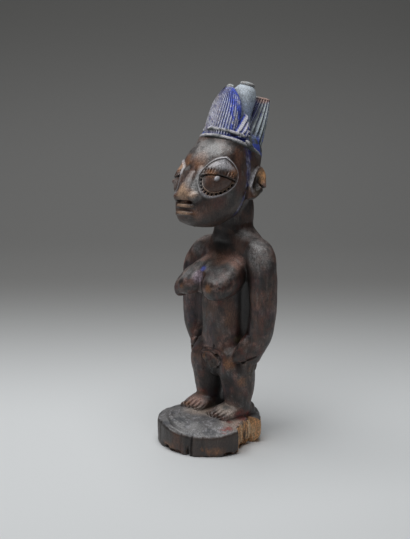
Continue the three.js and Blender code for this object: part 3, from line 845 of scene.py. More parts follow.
@dataclass(frozen=True)
class Head:
    """The head in its own frame, thrown back: skull, eyes, nose, lips and ears."""

    middle: Place = (0, 15, 193)
    tilt: float = math.radians(20)
    # Height, half width, front and back of each level section.
    skull: Rows = (
        (-45.8, 6.5, -23.5, -8), (-43.6, 11.4, -27.6, -1), (-38.6, 15.6, -31.2, 8), (-32, 18.2, -33.4, 16),
        (-25, 20.2, -33.6, 22), (-16, 21.8, -32.4, 26), (-6, 22.6, -31.6, 27.6), (4, 22.7, -31.6, 28),
        (12, 22.3, -28.6, 27.4), (19, 21.8, -24.4, 26), (26, 20, -21, 24), (34, 11, -11, 13),
    )
    # How much the face broadens over the eyes, and how far its left side is raised for each part across.
    broad: float = 0.8
    roll: float = 0.125
    # The eyes are set more askew than the rest of the face.
    eye_roll: float = 0.095
    # The brow's swelling and the fullness beside the nose: height, then bearing and half width.
    brow: Place = (1.8, 0.8, 0.5)
    fullness: Place = (2.6, 0.29, 0.2)
    # How far the hairline lies before the back of the head, and how much it leans for each part of height.
    hairline: Span = (3.4, 0.335)
    nose: Rows = (
        (0, -30.8, -5, 1.8, 1.6), (0, -31.4, -8.4, 2.8, 3),
        (0, -31.8, -13, 4.2, 4.6), (0, -32, -18, 5.8, 5.8),
        (0, -32, -22.6, 7.6, 6.2), (0, -31.8, -26, 9.2, 5.6), (0, -31.4, -28.4, 9.4, 4.4),
    )
    wing: Place = (8.2, -31.4, -25)
    wing_half: Place = (3.6, 4.8, 4.0)
    nostril: Place = (5.0, -33.2, -29.2)
    nostril_half: Place = (2.2, 1.8, 0.8)
    # Height, half length, front and half thickness of each lip.
    lips: Rows = ((-32.4, 11.6, -35.1, 1.9), (-37.8, 11.2, -34.0, 1.9))
    lip_depth: float = 4.0
    lip_bend: float = 4.6
    mouth: Place = (0, -34.8, -35.1)
    mouth_half: Place = (10.4, 1.9, 1.0)
    # The ear in the y, z plane round its middle: how far it reaches at each bearing from +y, in degrees.
    ear_middle: Span = (16.4, -1.2)
    ear_reach: Rows = (
        (-180, 7.2), (-155, 8.6), (-130, 13.4), (-114, 16.4),
        (-98, 14.6), (-60, 9.8), (-35, 8.6), (-18, 9.4),
        (0, 7.6), (30, 7.2), (60, 9), (85, 11.4), (105, 12.4), (125, 11.2), (150, 8.2), (180, 7.2),
    )
    ear_box: tuple[float, ...] = (9, 5, -19, 28, 28, 14)
    # How far the ear stands off, and how much more behind, then the height of each of its forms.
    ear_flare: Span = (22.4, 0.16)
    ear_rim: float = 2.3
    ear_flap: float = 2.6
    ear_lobe: float = 1.8
    ear_hollow: float = 3.4
    ear_cleft: float = 1.6
    eye: Eye = Eye()

    def local(self, places: Array) -> Array:
        """Places of the figure in the head's frame, turned back about the x axis."""
        x, y, z = (places - np.asarray(self.middle, np.float32)).T
        cos, sin = math.cos(self.tilt), math.sin(self.tilt)
        return np.stack([x, y * cos - z * sin, y * sin + z * cos], 1)

    def skin(self, across: Array, back: Array, along: Array) -> Array:
        """The relief of the skull: the broad eye region, the two eyes and the hairline's groove."""
        bearing = np.abs(np.arctan2(across, -back))
        eyes = self.eye.relief(bearing, along)
        eyes = eyes + self.broad * bump(bearing, 0.87, 0.77) * ramp(along, -36, -18) * ramp(-along, -2, 8)
        eyes = eyes + self.brow[0] * bump(bearing, *self.brow[1:]) * bump(along, 9, 9)
        beside = self.fullness[0] * bump(bearing, *self.fullness[1:])
        eyes = eyes + beside * ramp(along, -28, -22) * ramp(-along, 0, 6)
        _, middle, deep = self.section(along)
        hairline = middle + deep * back - self.hairline[0] + self.hairline[1] * along
        groove = 0.5 * ramp(hairline, 0.0, 1.6) - 0.9 * bump(hairline, 0.0, 1.0)
        groove = groove * ramp(along, -34, -26) * ramp(-along, -26, -18)
        return eyes + groove

    def bearing(self, places: Array) -> Array:
        """Bearings from straight ahead, without sign, counted as on the skull's level sections."""
        x, y, z = places.T
        wide, middle, deep = self.section(z)
        return np.abs(np.arctan2(x / wide, (middle - y) / deep))

    def section(self, rise: Array) -> tuple[Array, ...]:
        """The half width, middle and half depth of the skull at each height."""
        height, wide, front, back = np.asarray(self.skull).T
        return tuple(np.interp(rise, height, row) for row in (wide, (back + front) / 2, (back - front) / 2))

    def rolled(self, places: Array) -> Array:
        """Places with the face's roll taken out, which fades above the brow."""
        level = places.copy()
        tilt = self.roll + self.eye_roll * ramp(np.abs(places[:, 0]), 8, 16) * ramp(places[:, 2], -34, -20)
        level[:, 2] -= tilt * places[:, 0] * (1 - ramp(places[:, 2], 6, 24))
        return level

    def lip(self, row: tuple[float, ...]) -> Loft:
        """A lip as a flat-faced bar that runs across and bends back with the muzzle."""
        height, half, front, thick = row
        steps = np.linspace(-1, 1, 9)
        full = np.sqrt(np.clip(1 - steps**4, 0.06, 1))
        deep = self.lip_depth
        rows = tuple(
            (half * t, front + deep + self.lip_bend * t * t, height, deep * f, thick * f**0.4)
            for t, f in zip(steps, full)
        )
        return Loft(rows, Runs.ACROSS, 3.4)

    def ear(self, places: Array) -> Array:
        """The distance to an ear: a cupped plate with a rim in front and a flap behind."""
        x, y, z = np.abs(places[:, 0]), places[:, 1] - self.ear_middle[0], places[:, 2] - self.ear_middle[1]
        bearing = np.degrees(np.arctan2(z, y))
        full = np.interp(bearing, *np.asarray(self.ear_reach).T)
        out = np.hypot(y, z)
        share = out / full
        flare = self.ear_flare[0] + self.ear_flare[1] * y
        rim = self.ear_rim * bump(share, 0.86, 0.3) * ramp(np.abs(bearing), 70, 105)
        flap = self.ear_flap * bump(share, 0.72, 0.5) * ramp(bearing, -28, -12) * ramp(-bearing, -95, -60)
        lobe = self.ear_lobe * bump(share, 0.7, 0.5) * ramp(-bearing, 26, 44) * ramp(bearing, -150, -110)
        hollow = -self.ear_hollow * ramp(-share, -0.55, -0.1)
        cleft = -self.ear_cleft * bump(bearing, -30, 13) * ramp(share, 0.3, 0.6)
        face = x - (flare + rim + flap + lobe + hollow + cleft)
        edge = (share - 1) * full * 0.85
        inner = 13.0 + 0.5 * np.maximum(0, y) - x
        return -melt(-np.maximum(edge, inner), -face, 1.6)

    def build(self, clay: Clay) -> None:
        """Puts the head's forms into clay whose places are in the head's frame."""
        face = Clay(self.rolled(clay.places))
        sections = tuple(
            (0, (front + back) / 2, z, wide, (back - front) / 2) for z, wide, front, back in self.skull
        )
        face.add(Loft(sections, power=2.35, caps=(2.5, 4.0), relief=self.skin), Region.FACE, 0.5)
        face.add(Loft(self.nose, power=2.8, caps=(0.0, 1.6)), Region.NOSE, 1.4)
        face.add(Both(Ball(self.wing, self.wing_half)), Region.NOSE, 1.4)
        for row in self.lips:
            face.add(self.lip(row), Region.LIPS, 0.6)
        face.cut(Ball(self.mouth, self.mouth_half), 0.4)
        face.cut(Both(Ball(self.nostril, self.nostril_half)), 0.5)
        clay.put(np.arange(len(clay.places)), face.distance, face.region, 0.5)
        low, high = corners(*self.ear_box)
        near = clay.near((low * [-28 / 9, 1, 1], high), REACH)
        near = near[np.abs(clay.places[near, 0]) > low[0]]
        if near.size:
            clay.put(near, self.ear(clay.places[near]), Region.EAR.value, 1.2)


@dataclass(frozen=True)
class Hair:
    """The high hairstyle: two cords round its foot, and a cone with a knob between fluted lobes."""

    foot: Place = (1.4, 20.8, 23.6)
    foot_height: float = 20.25
    # How the cords rise and fall: shares of cosine and sine, once, twice and three times round the head.
    waves: tuple[Span, ...] = ((4.33, 1.05), (-0.70, 0.68), (0.11, 0.03))
    cord_radius: float = 1.45
    cord_gap: float = 5.3
    spans: tuple[Span, ...] = ((-0.24, 1.2), (-2.6, -0.75))
    nape_bed: Rows = ((0, 10.6, 13.6, 15, 14.8), (0, 8.6, 18, 18, 17), (0, 6.2, 23, 20, 19.4))
    bed: Rows = (
        (0, 1.2, 21, 20.6, 23.4), (0, 1.2, 27, 20.2, 23), (0, 1.4, 31, 18, 21), (0, 1.6, 33, 13, 16),
    )
    cone: Rows = (
        (0, 1, 22, 16, 18), (0, 1, 30, 12.4, 14), (0, 1.2, 38, 10.6, 11.6), (0, 1.6, 47, 9.8, 10.2),
        (0, 2.2, 55, 9.6, 9.8), (0, 2.6, 61, 9.2, 9.2), (0, 2.9, 65, 7.8, 7.8), (0, 3, 67.4, 5.8, 5.8),
        (0, 3, 68.6, 3.8, 3.8),
    )
    knob: Rows = (
        (0, 3, 67.2, 4.4, 4.4), (0, 3, 68.3, 5.6, 5.6), (0, 3, 70, 5.4, 5.4), (0, 3, 71.2, 4.2, 4.2),
    )
    front: Rows = (
        (0, -12.6, 21, 12.6, 8), (0, -13.6, 30, 14.6, 9.6),
        (0, -13, 46, 13.6, 8.8), (0, -13.2, 54, 11, 7.2),
        (0, -14, 60.4, 6.8, 4.8), (0, -14.8, 64, 2.8, 2.2),
    )
    front_tip: Place = (0, -14.6, 63.4)
    front_tip_half: Place = (3.0, 2.6, 2.0)
    front_grooves: int = 34
    back: Rows = (
        (0, 11, 21, 18.4, 13), (0, 12.8, 30, 17.6, 12.4), (0, 14.8, 40, 16.2, 11), (0, 17.4, 50, 13.6, 8.8),
        (0, 19.8, 57, 11, 6.8), (0, 20.8, 62.3, 9, 5.6),
    )
    front_cut: float = 0.85
    back_grooves: int = 23
    back_cut: float = 1.4
    back_twist: float = -0.01
    cap: Rows = ((0, 20.6, 60.6, 8.6, 5.2), (0, 21, 61.8, 9.2, 5.8), (0, 21.2, 63.2, 8.4, 5.2))
    leaf: Rows = (
        (15.8, -6, 27.6, 4.4, 7.6), (15.6, -5.6, 33, 4, 7.2),
        (14.6, -5, 37, 3.4, 5.6), (13.4, -4.4, 42, 2.6, 3.4),
        (12.4, -4, 46.6, 1.8, 1.4),
    )
    leaf_way: Span = (0.817, -0.577)
    leaf_pitch: float = 3.2
    knot: Rows = (
        (21.6, 2.2, 19.4, 1.8, 1.8), (22.6, 0, 21.6, 2.6, 3.0), (22.6, -3, 24.4, 2.6, 3.0),
        (21.6, -5.4, 27, 1.6, 1.8),
    )

    @staticmethod
    def arc_share(angle: Array, wide: float, deep: float) -> Array:
        """The share of an oval's outline that lies before an angle, by adding up its arc."""
        turns = np.linspace(-math.pi, math.pi, 361)
        steps = np.hypot(wide * np.sin(turns), deep * np.cos(turns))
        arc = np.concatenate([[0], np.cumsum((steps[1:] + steps[:-1]) / 2)])
        return np.interp(angle, turns, arc / arc[-1])

    def flutes(self, grooves: int, half: Span, depth: float, sharp: float, twist: float) -> Callable:
        """Upright flutes: minus a cosine comb over the share of the outline.

        Args:
            grooves: How many go round.
            half: The section's half width and half depth.
            depth: How deep they are cut.
            sharp: More than 1 makes them narrower than the ridges between them.
            twist: How far they lean round the lobe for each part of height, counted in grooves.

        Returns:
            The relief as a function of a place in the section and along the run.
        """

        def relief(across: Array, back: Array, along: Array) -> Array:
            """The comb at each place, faded out under the cords."""
            angle = np.arctan2(back, np.abs(across))
            share = self.arc_share(angle, *half)
            comb = (0.5 + 0.5 * np.cos(2 * math.pi * (grooves * share + twist * (along - 40)))) ** sharp
            return -depth * comb * ramp(along, 24, 27)

        return relief

    def lower_cord(self) -> Ring:
        """The cord at the foot of the hair."""
        middle, wide, deep = self.foot
        return Ring(middle, wide + 1, deep + 1, self.foot_height, self.waves, self.cord_radius)

    def leaf_ribs(self, _: Array, back: Array, along: Array) -> Array:
        """Slanting rolls side by side, with cuts between them that run along the leaf's front edge."""
        half = np.interp(along, [row[2] for row in self.leaf], [row[4] for row in self.leaf])
        middle = np.interp(along, [row[2] for row in self.leaf], [row[1] for row in self.leaf])
        place = middle + back * half
        slant = (place + 18) * self.leaf_way[0] + (along - 32) * self.leaf_way[1]
        comb = (0.5 + 0.5 * np.cos(2 * math.pi * slant / self.leaf_pitch)) ** 1.3
        behind = ramp(back, 0.25, 0.5)
        short = (0.5 + 0.5 * np.cos(2 * math.pi * along / 3.2)) ** 1.3
        return -1.25 * (comb * (1 - behind) + short * behind) - 0.6 * bump(back, 0.38, 0.2)

    def build(self, clay: Clay) -> None:
        """Puts the hair's forms into clay whose places are in the head's frame."""
        clay.add(Loft(self.bed), Region.BACK_LOBE, 0.6)
        clay.add(Loft(self.nape_bed), Region.BACK_LOBE, 0.6)
        clay.add(Loft(self.cone), Region.CONE, 0.6)
        back = self.flutes(self.back_grooves, (14, 9), self.back_cut, 0.9, self.back_twist)
        clay.add(Loft(self.back, relief=back), Region.BACK_LOBE, 0.5)
        front = self.flutes(self.front_grooves, (14.4, 9.4), self.front_cut, 1.2, 0.0)
        clay.add(Loft(self.front, caps=(0.0, 1.6), relief=front), Region.FRONT_LOBE, 0.5)
        leaf = Loft(self.leaf, caps=(0.0, 2.0), relief=self.leaf_ribs)
        clay.add(Both(leaf), Region.LEAF, 0.4)
        clay.add(Loft(self.knob, caps=(0.8, 1.4)), Region.CAP, 0.2)
        clay.add(Loft(self.cap, caps=(0.8, 1.0)), Region.CAP, 0.3)
        clay.add(Ball(self.front_tip, self.front_tip_half), Region.CAP, 0.4)
        middle, wide, deep = self.foot
        height = self.foot_height + self.cord_gap
        upper = Ring(middle, wide, deep, height, self.waves, 0.92 * self.cord_radius, self.spans)
        clay.add(self.lower_cord(), Region.CORD, 0.3)
        clay.add(upper, Region.CORD, 0.3)
        clay.add(Loft(self.knot, caps=(1.0, 1.0)), Region.CORD, 0.5)


@dataclass(frozen=True)
class Figure:
    """The whole carving: every sub-assembly joined into one distance."""

    base: Base = Base()
    legs: Legs = Legs()
    trunk: Trunk = Trunk()
    arms: Arms = Arms()
    head: Head = Head()
    hair: Hair = Hair()
    shoulder_drop: float = 7.5
    outer_drop: float = 3.5
    # How far the arms are carried, the right one ahead and the left one back.
    arm_swing: Span = (3.0, 1.0)
    head_box: tuple[float, ...] = (-31, -30, 142, 31, 64, 264)

    def unbend(self, places_mm: Array) -> Array:
        """Millimetre places as places of the figure in parts, with the right shoulder's drop taken out.

        The drop fades at the hip for the trunk, and as low as the hand for the arm outside it.
        """
        parts = np.empty_like(places_mm, np.float32)
        parts[:, :2] = places_mm[:, :2] / PART_MM
        height = (places_mm[:, 2] - SOLES_MM) / PART_MM
        outside = ramp(-parts[:, 0], 18, 27)
        low, high = 76 - 38 * outside, 126 - 50 * outside
        fade = ramp((height - low) / (high - low), 0, 1) * (1 - ramp(height, 142, 157))
        drop = self.shoulder_drop * ramp(-parts[:, 0], 2, 24)
        drop = drop + self.outer_drop * ramp(-parts[:, 0], 24, 42) * ramp(height, 96, 120)
        parts[:, 2] = height + drop * fade
        ahead, back = self.arm_swing
        swung = ramp(height, 44, 66) * ramp(-height, -128, -104)
        parts[:, 1] += swung * (ahead * outside - back * ramp(parts[:, 0], 18, 27))
        return parts

    def in_head(self, places_mm: Array) -> Array:
        """Millimetre places in the head's own frame."""
        return self.head.local(self.unbend(places_mm.astype(np.float32)))

    def measure(self, places_mm: Array) -> Clay:
        """The carving's clay at places in millimetres, with the unevenness of knife work."""
        clay = Clay(self.unbend(places_mm))
        self.trunk.join(clay)
        self.legs.join(clay)
        self.arms.join(clay)
        near = clay.near(corners(*self.head_box), REACH)
        if near.size:
            head = Clay(self.head.local(clay.places[near]))
            self.head.build(head)
            self.hair.build(head)
            clay.put(near, head.distance, head.region, 2.0)
        self.base.join(clay)
        near = np.flatnonzero(np.abs(clay.distance) < REACH)
        skin = clay.places[near]
        clay.distance[near] += 0.28 * grain(skin, (6, 6, 11), 31) + 0.13 * grain(skin, (2.2, 2.2, 5), 32)
        return clay


# From distance to mesh


@dataclass(frozen=True)
class Carving:
    """Draws the surface out of the figure's distance.

    A coarse grid finds the cells near the surface, a fine grid fills only those, and one point is put in
    each fine cell that the surface crosses, at the mean of the crossings of its edges. Four such points
    round each crossed edge make a face.
    """

    figure: Figure
    pitch: float = 0.4
    coarser: int = 4
    low: Place = (-47.0, -41.0, -1.5)
    high: Place = (47.0, 62.0, 281.5)
    band: float = 1.7
    triangles: int = 190000
    tight: float = 0.15
    step_limit: float = 0.3

    def coarse_cells(self) -> tuple[Array, Array]:
        """The coarse grid's distances and the cells of it that may hold surface."""
        wide = self.pitch * self.coarser
        count = np.ceil((np.asarray(self.high) - np.asarray(self.low)) / wide).astype(int) + 1
        axes = [self.low[n] + wide * np.arange(count[n]) for n in range(3)]
        grid = np.stack(np.meshgrid(*axes, indexing="ij"), -1).reshape(-1, 3)
        distance = self.figure.measure(grid).distance.reshape(count)
        near = np.abs(distance) < self.band
        inside = distance < 0
        cells = np.zeros(count - 1, bool)
        filled = np.zeros(count - 1, np.int8)
        for corner in range(8):
            part = tuple(slice(corner >> n & 1, count[n] - 1 + (corner >> n & 1)) for n in range(3))
            cells |= near[part]
            filled += inside[part]
        return distance, cells | ((filled > 0) & (filled < 8))

    def fill(self) -> Array:
        """The fine grid's distances, with a plain far value away from the surface."""
        coarse, cells = self.coarse_cells()
        far = np.where(coarse[:-1, :-1, :-1] < 0, -1.0, 1.0).astype(np.float32)
        for axis in range(3):
            far = np.repeat(far, self.coarser, axis)
        steps = np.stack(np.meshgrid(*[np.arange(self.coarser)] * 3, indexing="ij"), -1).reshape(-1, 3)
        places = (np.argwhere(cells)[:, None, :] * self.coarser + steps).reshape(-1, 3)
        LOG.info("fine places: %d", len(places))
        for part in np.array_split(places, max(1, len(places) // 600000)):
            found = self.figure.measure(np.asarray(self.low) + part * self.pitch)
            far[part[:, 0], part[:, 1], part[:, 2]] = found.distance
        return far

    def net(self, values: Array) -> tuple[Array, Array]:
        """The points and four-sided faces of the surface where values change sign."""
        shape = np.array(values.shape) - 1
        inside = values < 0
        count = np.zeros(shape, np.int8)
        for corner in range(8):
            count += inside[tuple(slice(corner >> n & 1, shape[n] + (corner >> n & 1)) for n in range(3))]
        cell = np.flatnonzero((count > 0) & (count < 8))
        place = np.stack(np.unravel_index(cell, shape), 1)
        total, crossings = np.zeros((len(cell), 3), np.float32), np.zeros(len(cell), np.float32)
        for axis in range(3):
            for side in range(4):
                start = np.zeros(3, int)
                start[(axis + 1) % 3], start[(axis + 2) % 3] = side & 1, side >> 1
                end = start.copy()
                end[axis] = 1
                first = values[tuple((place + start).T)]
                second = values[tuple((place + end).T)]
                crosses = (first < 0) != (second < 0)
                share = np.where(crosses, first / np.where(crosses, first - second, 1.0), 0.0)
                point = start + share[:, None] * (end - start)
                total += np.where(crosses[:, None], point, 0.0)
                crossings += crosses
        points = np.asarray(self.low) + self.pitch * (place + total / crossings[:, None])
        return points, self.faces(inside, cell, shape)

    @staticmethod
    def faces(inside: Array, cell: Array, shape: Array) -> Array:
        """One face to each grid edge that the surface crosses, its corners in the four cells round it."""
        found = []
        for axis in range(3):
            after = [slice(None)] * 3
            before = [slice(None)] * 3
            after[axis], before[axis] = slice(1, None), slice(None, -1)
            start = inside[tuple(before)]
            edges = np.argwhere(start != inside[tuple(after)])
            leaving = start[tuple(edges.T)]
            corners = []
            for one, two in ((-1, -1), (0, -1), (0, 0), (-1, 0)):
                offset = np.zeros(3, int)
                offset[(axis + 1) % 3], offset[(axis + 2) % 3] = one, two
                key = np.ravel_multi_index(tuple((edges + offset).T), shape)
                corners.append(np.searchsorted(cell, key))
            faces = np.stack(corners, 1)
            found.append(np.where(leaving[:, None], faces, faces[:, ::-1]))
        return np.concatenate(found)

    def slope(self, points: Array, step: float) -> tuple[Array, Array]:
        """The distance at each point and its gradient, from the corners of a small four-cornered cage."""
        corners = np.array([[1, 1, 1], [1, -1, -1], [-1, 1, -1], [-1, -1, 1]], float)
        values = [self.figure.measure(points + step * corner).distance for corner in corners]
        gradient = sum(value[:, None] * corner for value, corner in zip(values, corners)) / (4 * step)
        return sum(values) / 4, gradient

    def settle(self, points: Array, rounds: int) -> Array:
        """Points moved onto the surface down the gradient, no further than the limit each time."""
        for _ in range(rounds):
            value, gradient = self.slope(points, self.tight)
            length = np.linalg.norm(gradient, axis=1) + 1e-6
            step = np.clip(value / length, -self.step_limit, self.step_limit)
            points = points - (step / length)[:, None] * gradient
        return points

    def mesh(self, name: str) -> bpy.types.Mesh:
        """The carving as a mesh in metres, thinned to its triangles and settled on the surface."""
        points, faces = self.net(self.fill())
        LOG.info("net: %d points, %d faces", len(points), len(faces))
        dense = new_mesh(name + "_dense", points, faces)
        points, triangles = thinned(dense, self.triangles / (2 * len(faces)))
        points = self.settle(points, 2)
        low, high = (np.array(corner) * 1000 for corner in CAD_BOX)
        points = np.clip(points, low, high)
        keep = largest_shell(len(points), triangles)
        points, triangles = kept(points, triangles, keep)
        LOG.info("carving: %d points, %d triangles", len(points), len(triangles))
        return new_mesh(name, points / 1000, triangles)


def new_mesh(name: str, points: Array, faces: Array) -> bpy.types.Mesh:
    """A mesh from arrays of points and of faces that all have the same number of corners."""
    mesh = bpy.data.meshes.new(name)
    sides = faces.shape[1]
    mesh.vertices.add(len(points))
    mesh.vertices.foreach_set("co", points.astype(np.float32).ravel())
    mesh.loops.add(faces.size)
    mesh.loops.foreach_set("vertex_index", faces.astype(np.int32).ravel())
    mesh.polygons.add(len(faces))
    mesh.polygons.foreach_set("loop_start", np.arange(0, faces.size, sides, dtype=np.int32))
    mesh.update(calc_edges=True)
    return mesh


def placed(name: str, data: bpy.types.ID) -> bpy.types.Object:
    """A new object in the scene, from its mesh, lamp or lens."""
    made = bpy.data.objects.new(name, data)
    bpy.context.scene.collection.objects.link(made)
    return made


def read_mesh(mesh: bpy.types.Mesh) -> tuple[Array, Array]:
    """A mesh's points and triangles as arrays."""
    points = np.empty(len(mesh.vertices) * 3, np.float32)
    mesh.vertices.foreach_get("co", points)
    mesh.calc_loop_triangles()
    corners = np.empty(len(mesh.loop_triangles) * 3, np.int32)
    mesh.loop_triangles.foreach_get("vertices", corners)
    return points.reshape(-1, 3).astype(float), corners.reshape(-1, 3)


def thinned(mesh: bpy.types.Mesh, share: float) -> tuple[Array, Array]:
    """The points and triangles of a mesh after edges are collapsed to a share of its triangles."""
    holder = placed(mesh.name, mesh)
    if share < 1:
        modifier = holder.modifiers.new("thin", "DECIMATE")
        modifier.ratio = share
        modifier.use_collapse_triangulate = True
    graph = bpy.context.evaluated_depsgraph_get()
    found = read_mesh(holder.evaluated_get(graph).data)
    bpy.data.objects.remove(holder)
    bpy.data.meshes.remove(mesh)
    return found


def largest_shell(count: int, triangles: Array) -> Array:
    """Which points belong to the largest connected shell: the least number in reach is handed round."""
    label = np.arange(count)
    edges = np.concatenate([triangles[:, [0, 1]], triangles[:, [1, 2]]])
    while True:
        least = np.minimum(label[edges[:, 0]], label[edges[:, 1]])
        new = label.copy()
        np.minimum.at(new, edges[:, 0], least)
        np.minimum.at(new, edges[:, 1], least)
        new = new[new]
        if np.array_equal(new, label):
            break
        label = new
    return label == np.bincount(label).argmax()


def kept(points: Array, triangles: Array, keep: Array) -> tuple[Array, Array]:
    """The points that are kept, and the triangles between them under their new numbers."""
    number = np.cumsum(keep) - 1
    return points[keep], number[triangles[keep[triangles].all(1)]]


# Coats of colour on the mesh, and the wood's material


class Hue(Enum):
    """Colours of the coats on the wood."""

    WORN = (0.30, 0.135, 0.06)
    WORN_PALE = (0.50, 0.33, 0.22)
    CHESTNUT = (0.13, 0.055, 0.032)
    CAMWOOD = (0.115, 0.03, 0.02)
    RED = (0.30, 0.05, 0.035)
    PINK = (0.40, 0.235, 0.19)
    LILAC = (0.46, 0.36, 0.44)
    CREAM = (0.46, 0.37, 0.31)
    YELLOW = (0.46, 0.35, 0.17)
    SLATE = (0.085, 0.10, 0.10)
    OLIVE = (0.11, 0.085, 0.05)
    VIOLET = (0.036, 0.024, 0.052)
    # Grey dust and bloom, also laid as painted highlight on lit tops.
    GREY = (0.30, 0.30, 0.30)
    # Pale wear, also laid as painted highlight and small painted glints.
    PALE = (0.50, 0.49, 0.52)
    RAW = (0.78, 0.42, 0.19)
    # Dark brown laid as painted shade under forms and between parts.
    SHADE_UMBER = (0.035, 0.024, 0.018)
    BLUE = (0.04, 0.085, 0.55)
    DEEP_BLUE = (0.02, 0.025, 0.20)
    SKY = (0.24, 0.31, 0.50)
    SEA = (0.42, 0.48, 0.50)
    MIST = (0.50, 0.50, 0.55)
    ICE = (0.45, 0.51, 0.57)
    CORNFLOWER = (0.36, 0.45, 0.66)
    STONE = (0.15, 0.147, 0.15)
    INK = (0.06, 0.065, 0.075)
    BARK = (0.05, 0.042, 0.038)
    SPLINTER = (0.80, 0.60, 0.38)
    # Near black dirt, and painted shade in cuts, pits, hollows and under forms.
    SOOT_AND_SHADE = (0.012, 0.010, 0.010)


@dataclass(frozen=True)
class Skin:
    """What is known of the surface at each point of the mesh, for deciding its colours."""

    points: Array
    normals: Array
    region: Array
    hollow: Array
    wide: Array
    edge: Array

    def on(self, *regions: Region) -> Array:
        """1 where the point belongs to one of the regions."""
        return np.isin(self.region, [region.value for region in regions]).astype(float)

    def upward(self) -> Array:
        """How far the surface faces up, from -1 to 1."""
        return self.normals[:, 2]

    def mottle(self, size: float, seed: int, spread: Span = (-0.2, 0.4), tall: float = 1.0) -> Array:
        """Ragged patches of noise, from 0 to 1.

        Args:
            size: The patches' size in millimetres.
            seed: Which noise.
            spread: The noise at which a patch begins and at which it is full.
            tall: How many times as tall as wide the patches are.

        Returns:
            One share to a point.
        """
        fine = 0.4 * grain(self.points, (0.3 * size,) * 3, seed + 50)
        return ramp(grain(self.points, (size, size, size * tall), seed) + fine, *spread)


class Coats:
    """Colours laid over one another on the mesh's points, with how much of the wood they hide."""

    def __init__(self, skin: Skin) -> None:
        """Starts with bare wood."""
        self.skin = skin
        self.colour = np.zeros((len(skin.points), 3))
        self.cover = np.zeros(len(skin.points))

    def lay(self, pigment: Hue, mask: Array) -> None:
        """Lays a pigment over what is there.

        Args:
            pigment: Which colour.
            mask: How much of it, from 0 to 1. The cover becomes 1 - (1 - cover) (1 - mask).
        """
        under = self.cover * (1 - mask)
        whole = under + mask
        mixed = self.colour * under[:, None] + np.asarray(pigment.value) * mask[:, None]
        self.colour = mixed / (whole[:, None] + 1e-6)
        self.cover = whole

    def mottle(self, pigment: Hue, mask: Array, **patches: float | Span) -> None:
        """Lays a pigment in ragged patches, given by the words that the skin's mottle takes."""
        self.lay(pigment, mask * self.skin.mottle(**patches))


@dataclass(frozen=True)
class ColourPatches:
    """Oval patches of one colour, of stain, painted shade and painted highlight: x, y, z, half width, half
    height in mm and strength of each.
    """

    pigment: Hue
    patches: Rows

    def lay(self, coats: Coats, ragged: Array) -> None:
        """Lays each patch, full at its middle and ragged towards its edge."""
        for x, y, z, half, tall, strength in self.patches:
            reach = np.sqrt((((coats.skin.points - (x, y, z)) / (half, half, tall)) ** 2).sum(1))
            mask = strength * (1 - ramp(reach, 0.35, 1.0))
            coats.lay(self.pigment, mask * np.clip(ragged + 0.35 * mask, 0, 1))
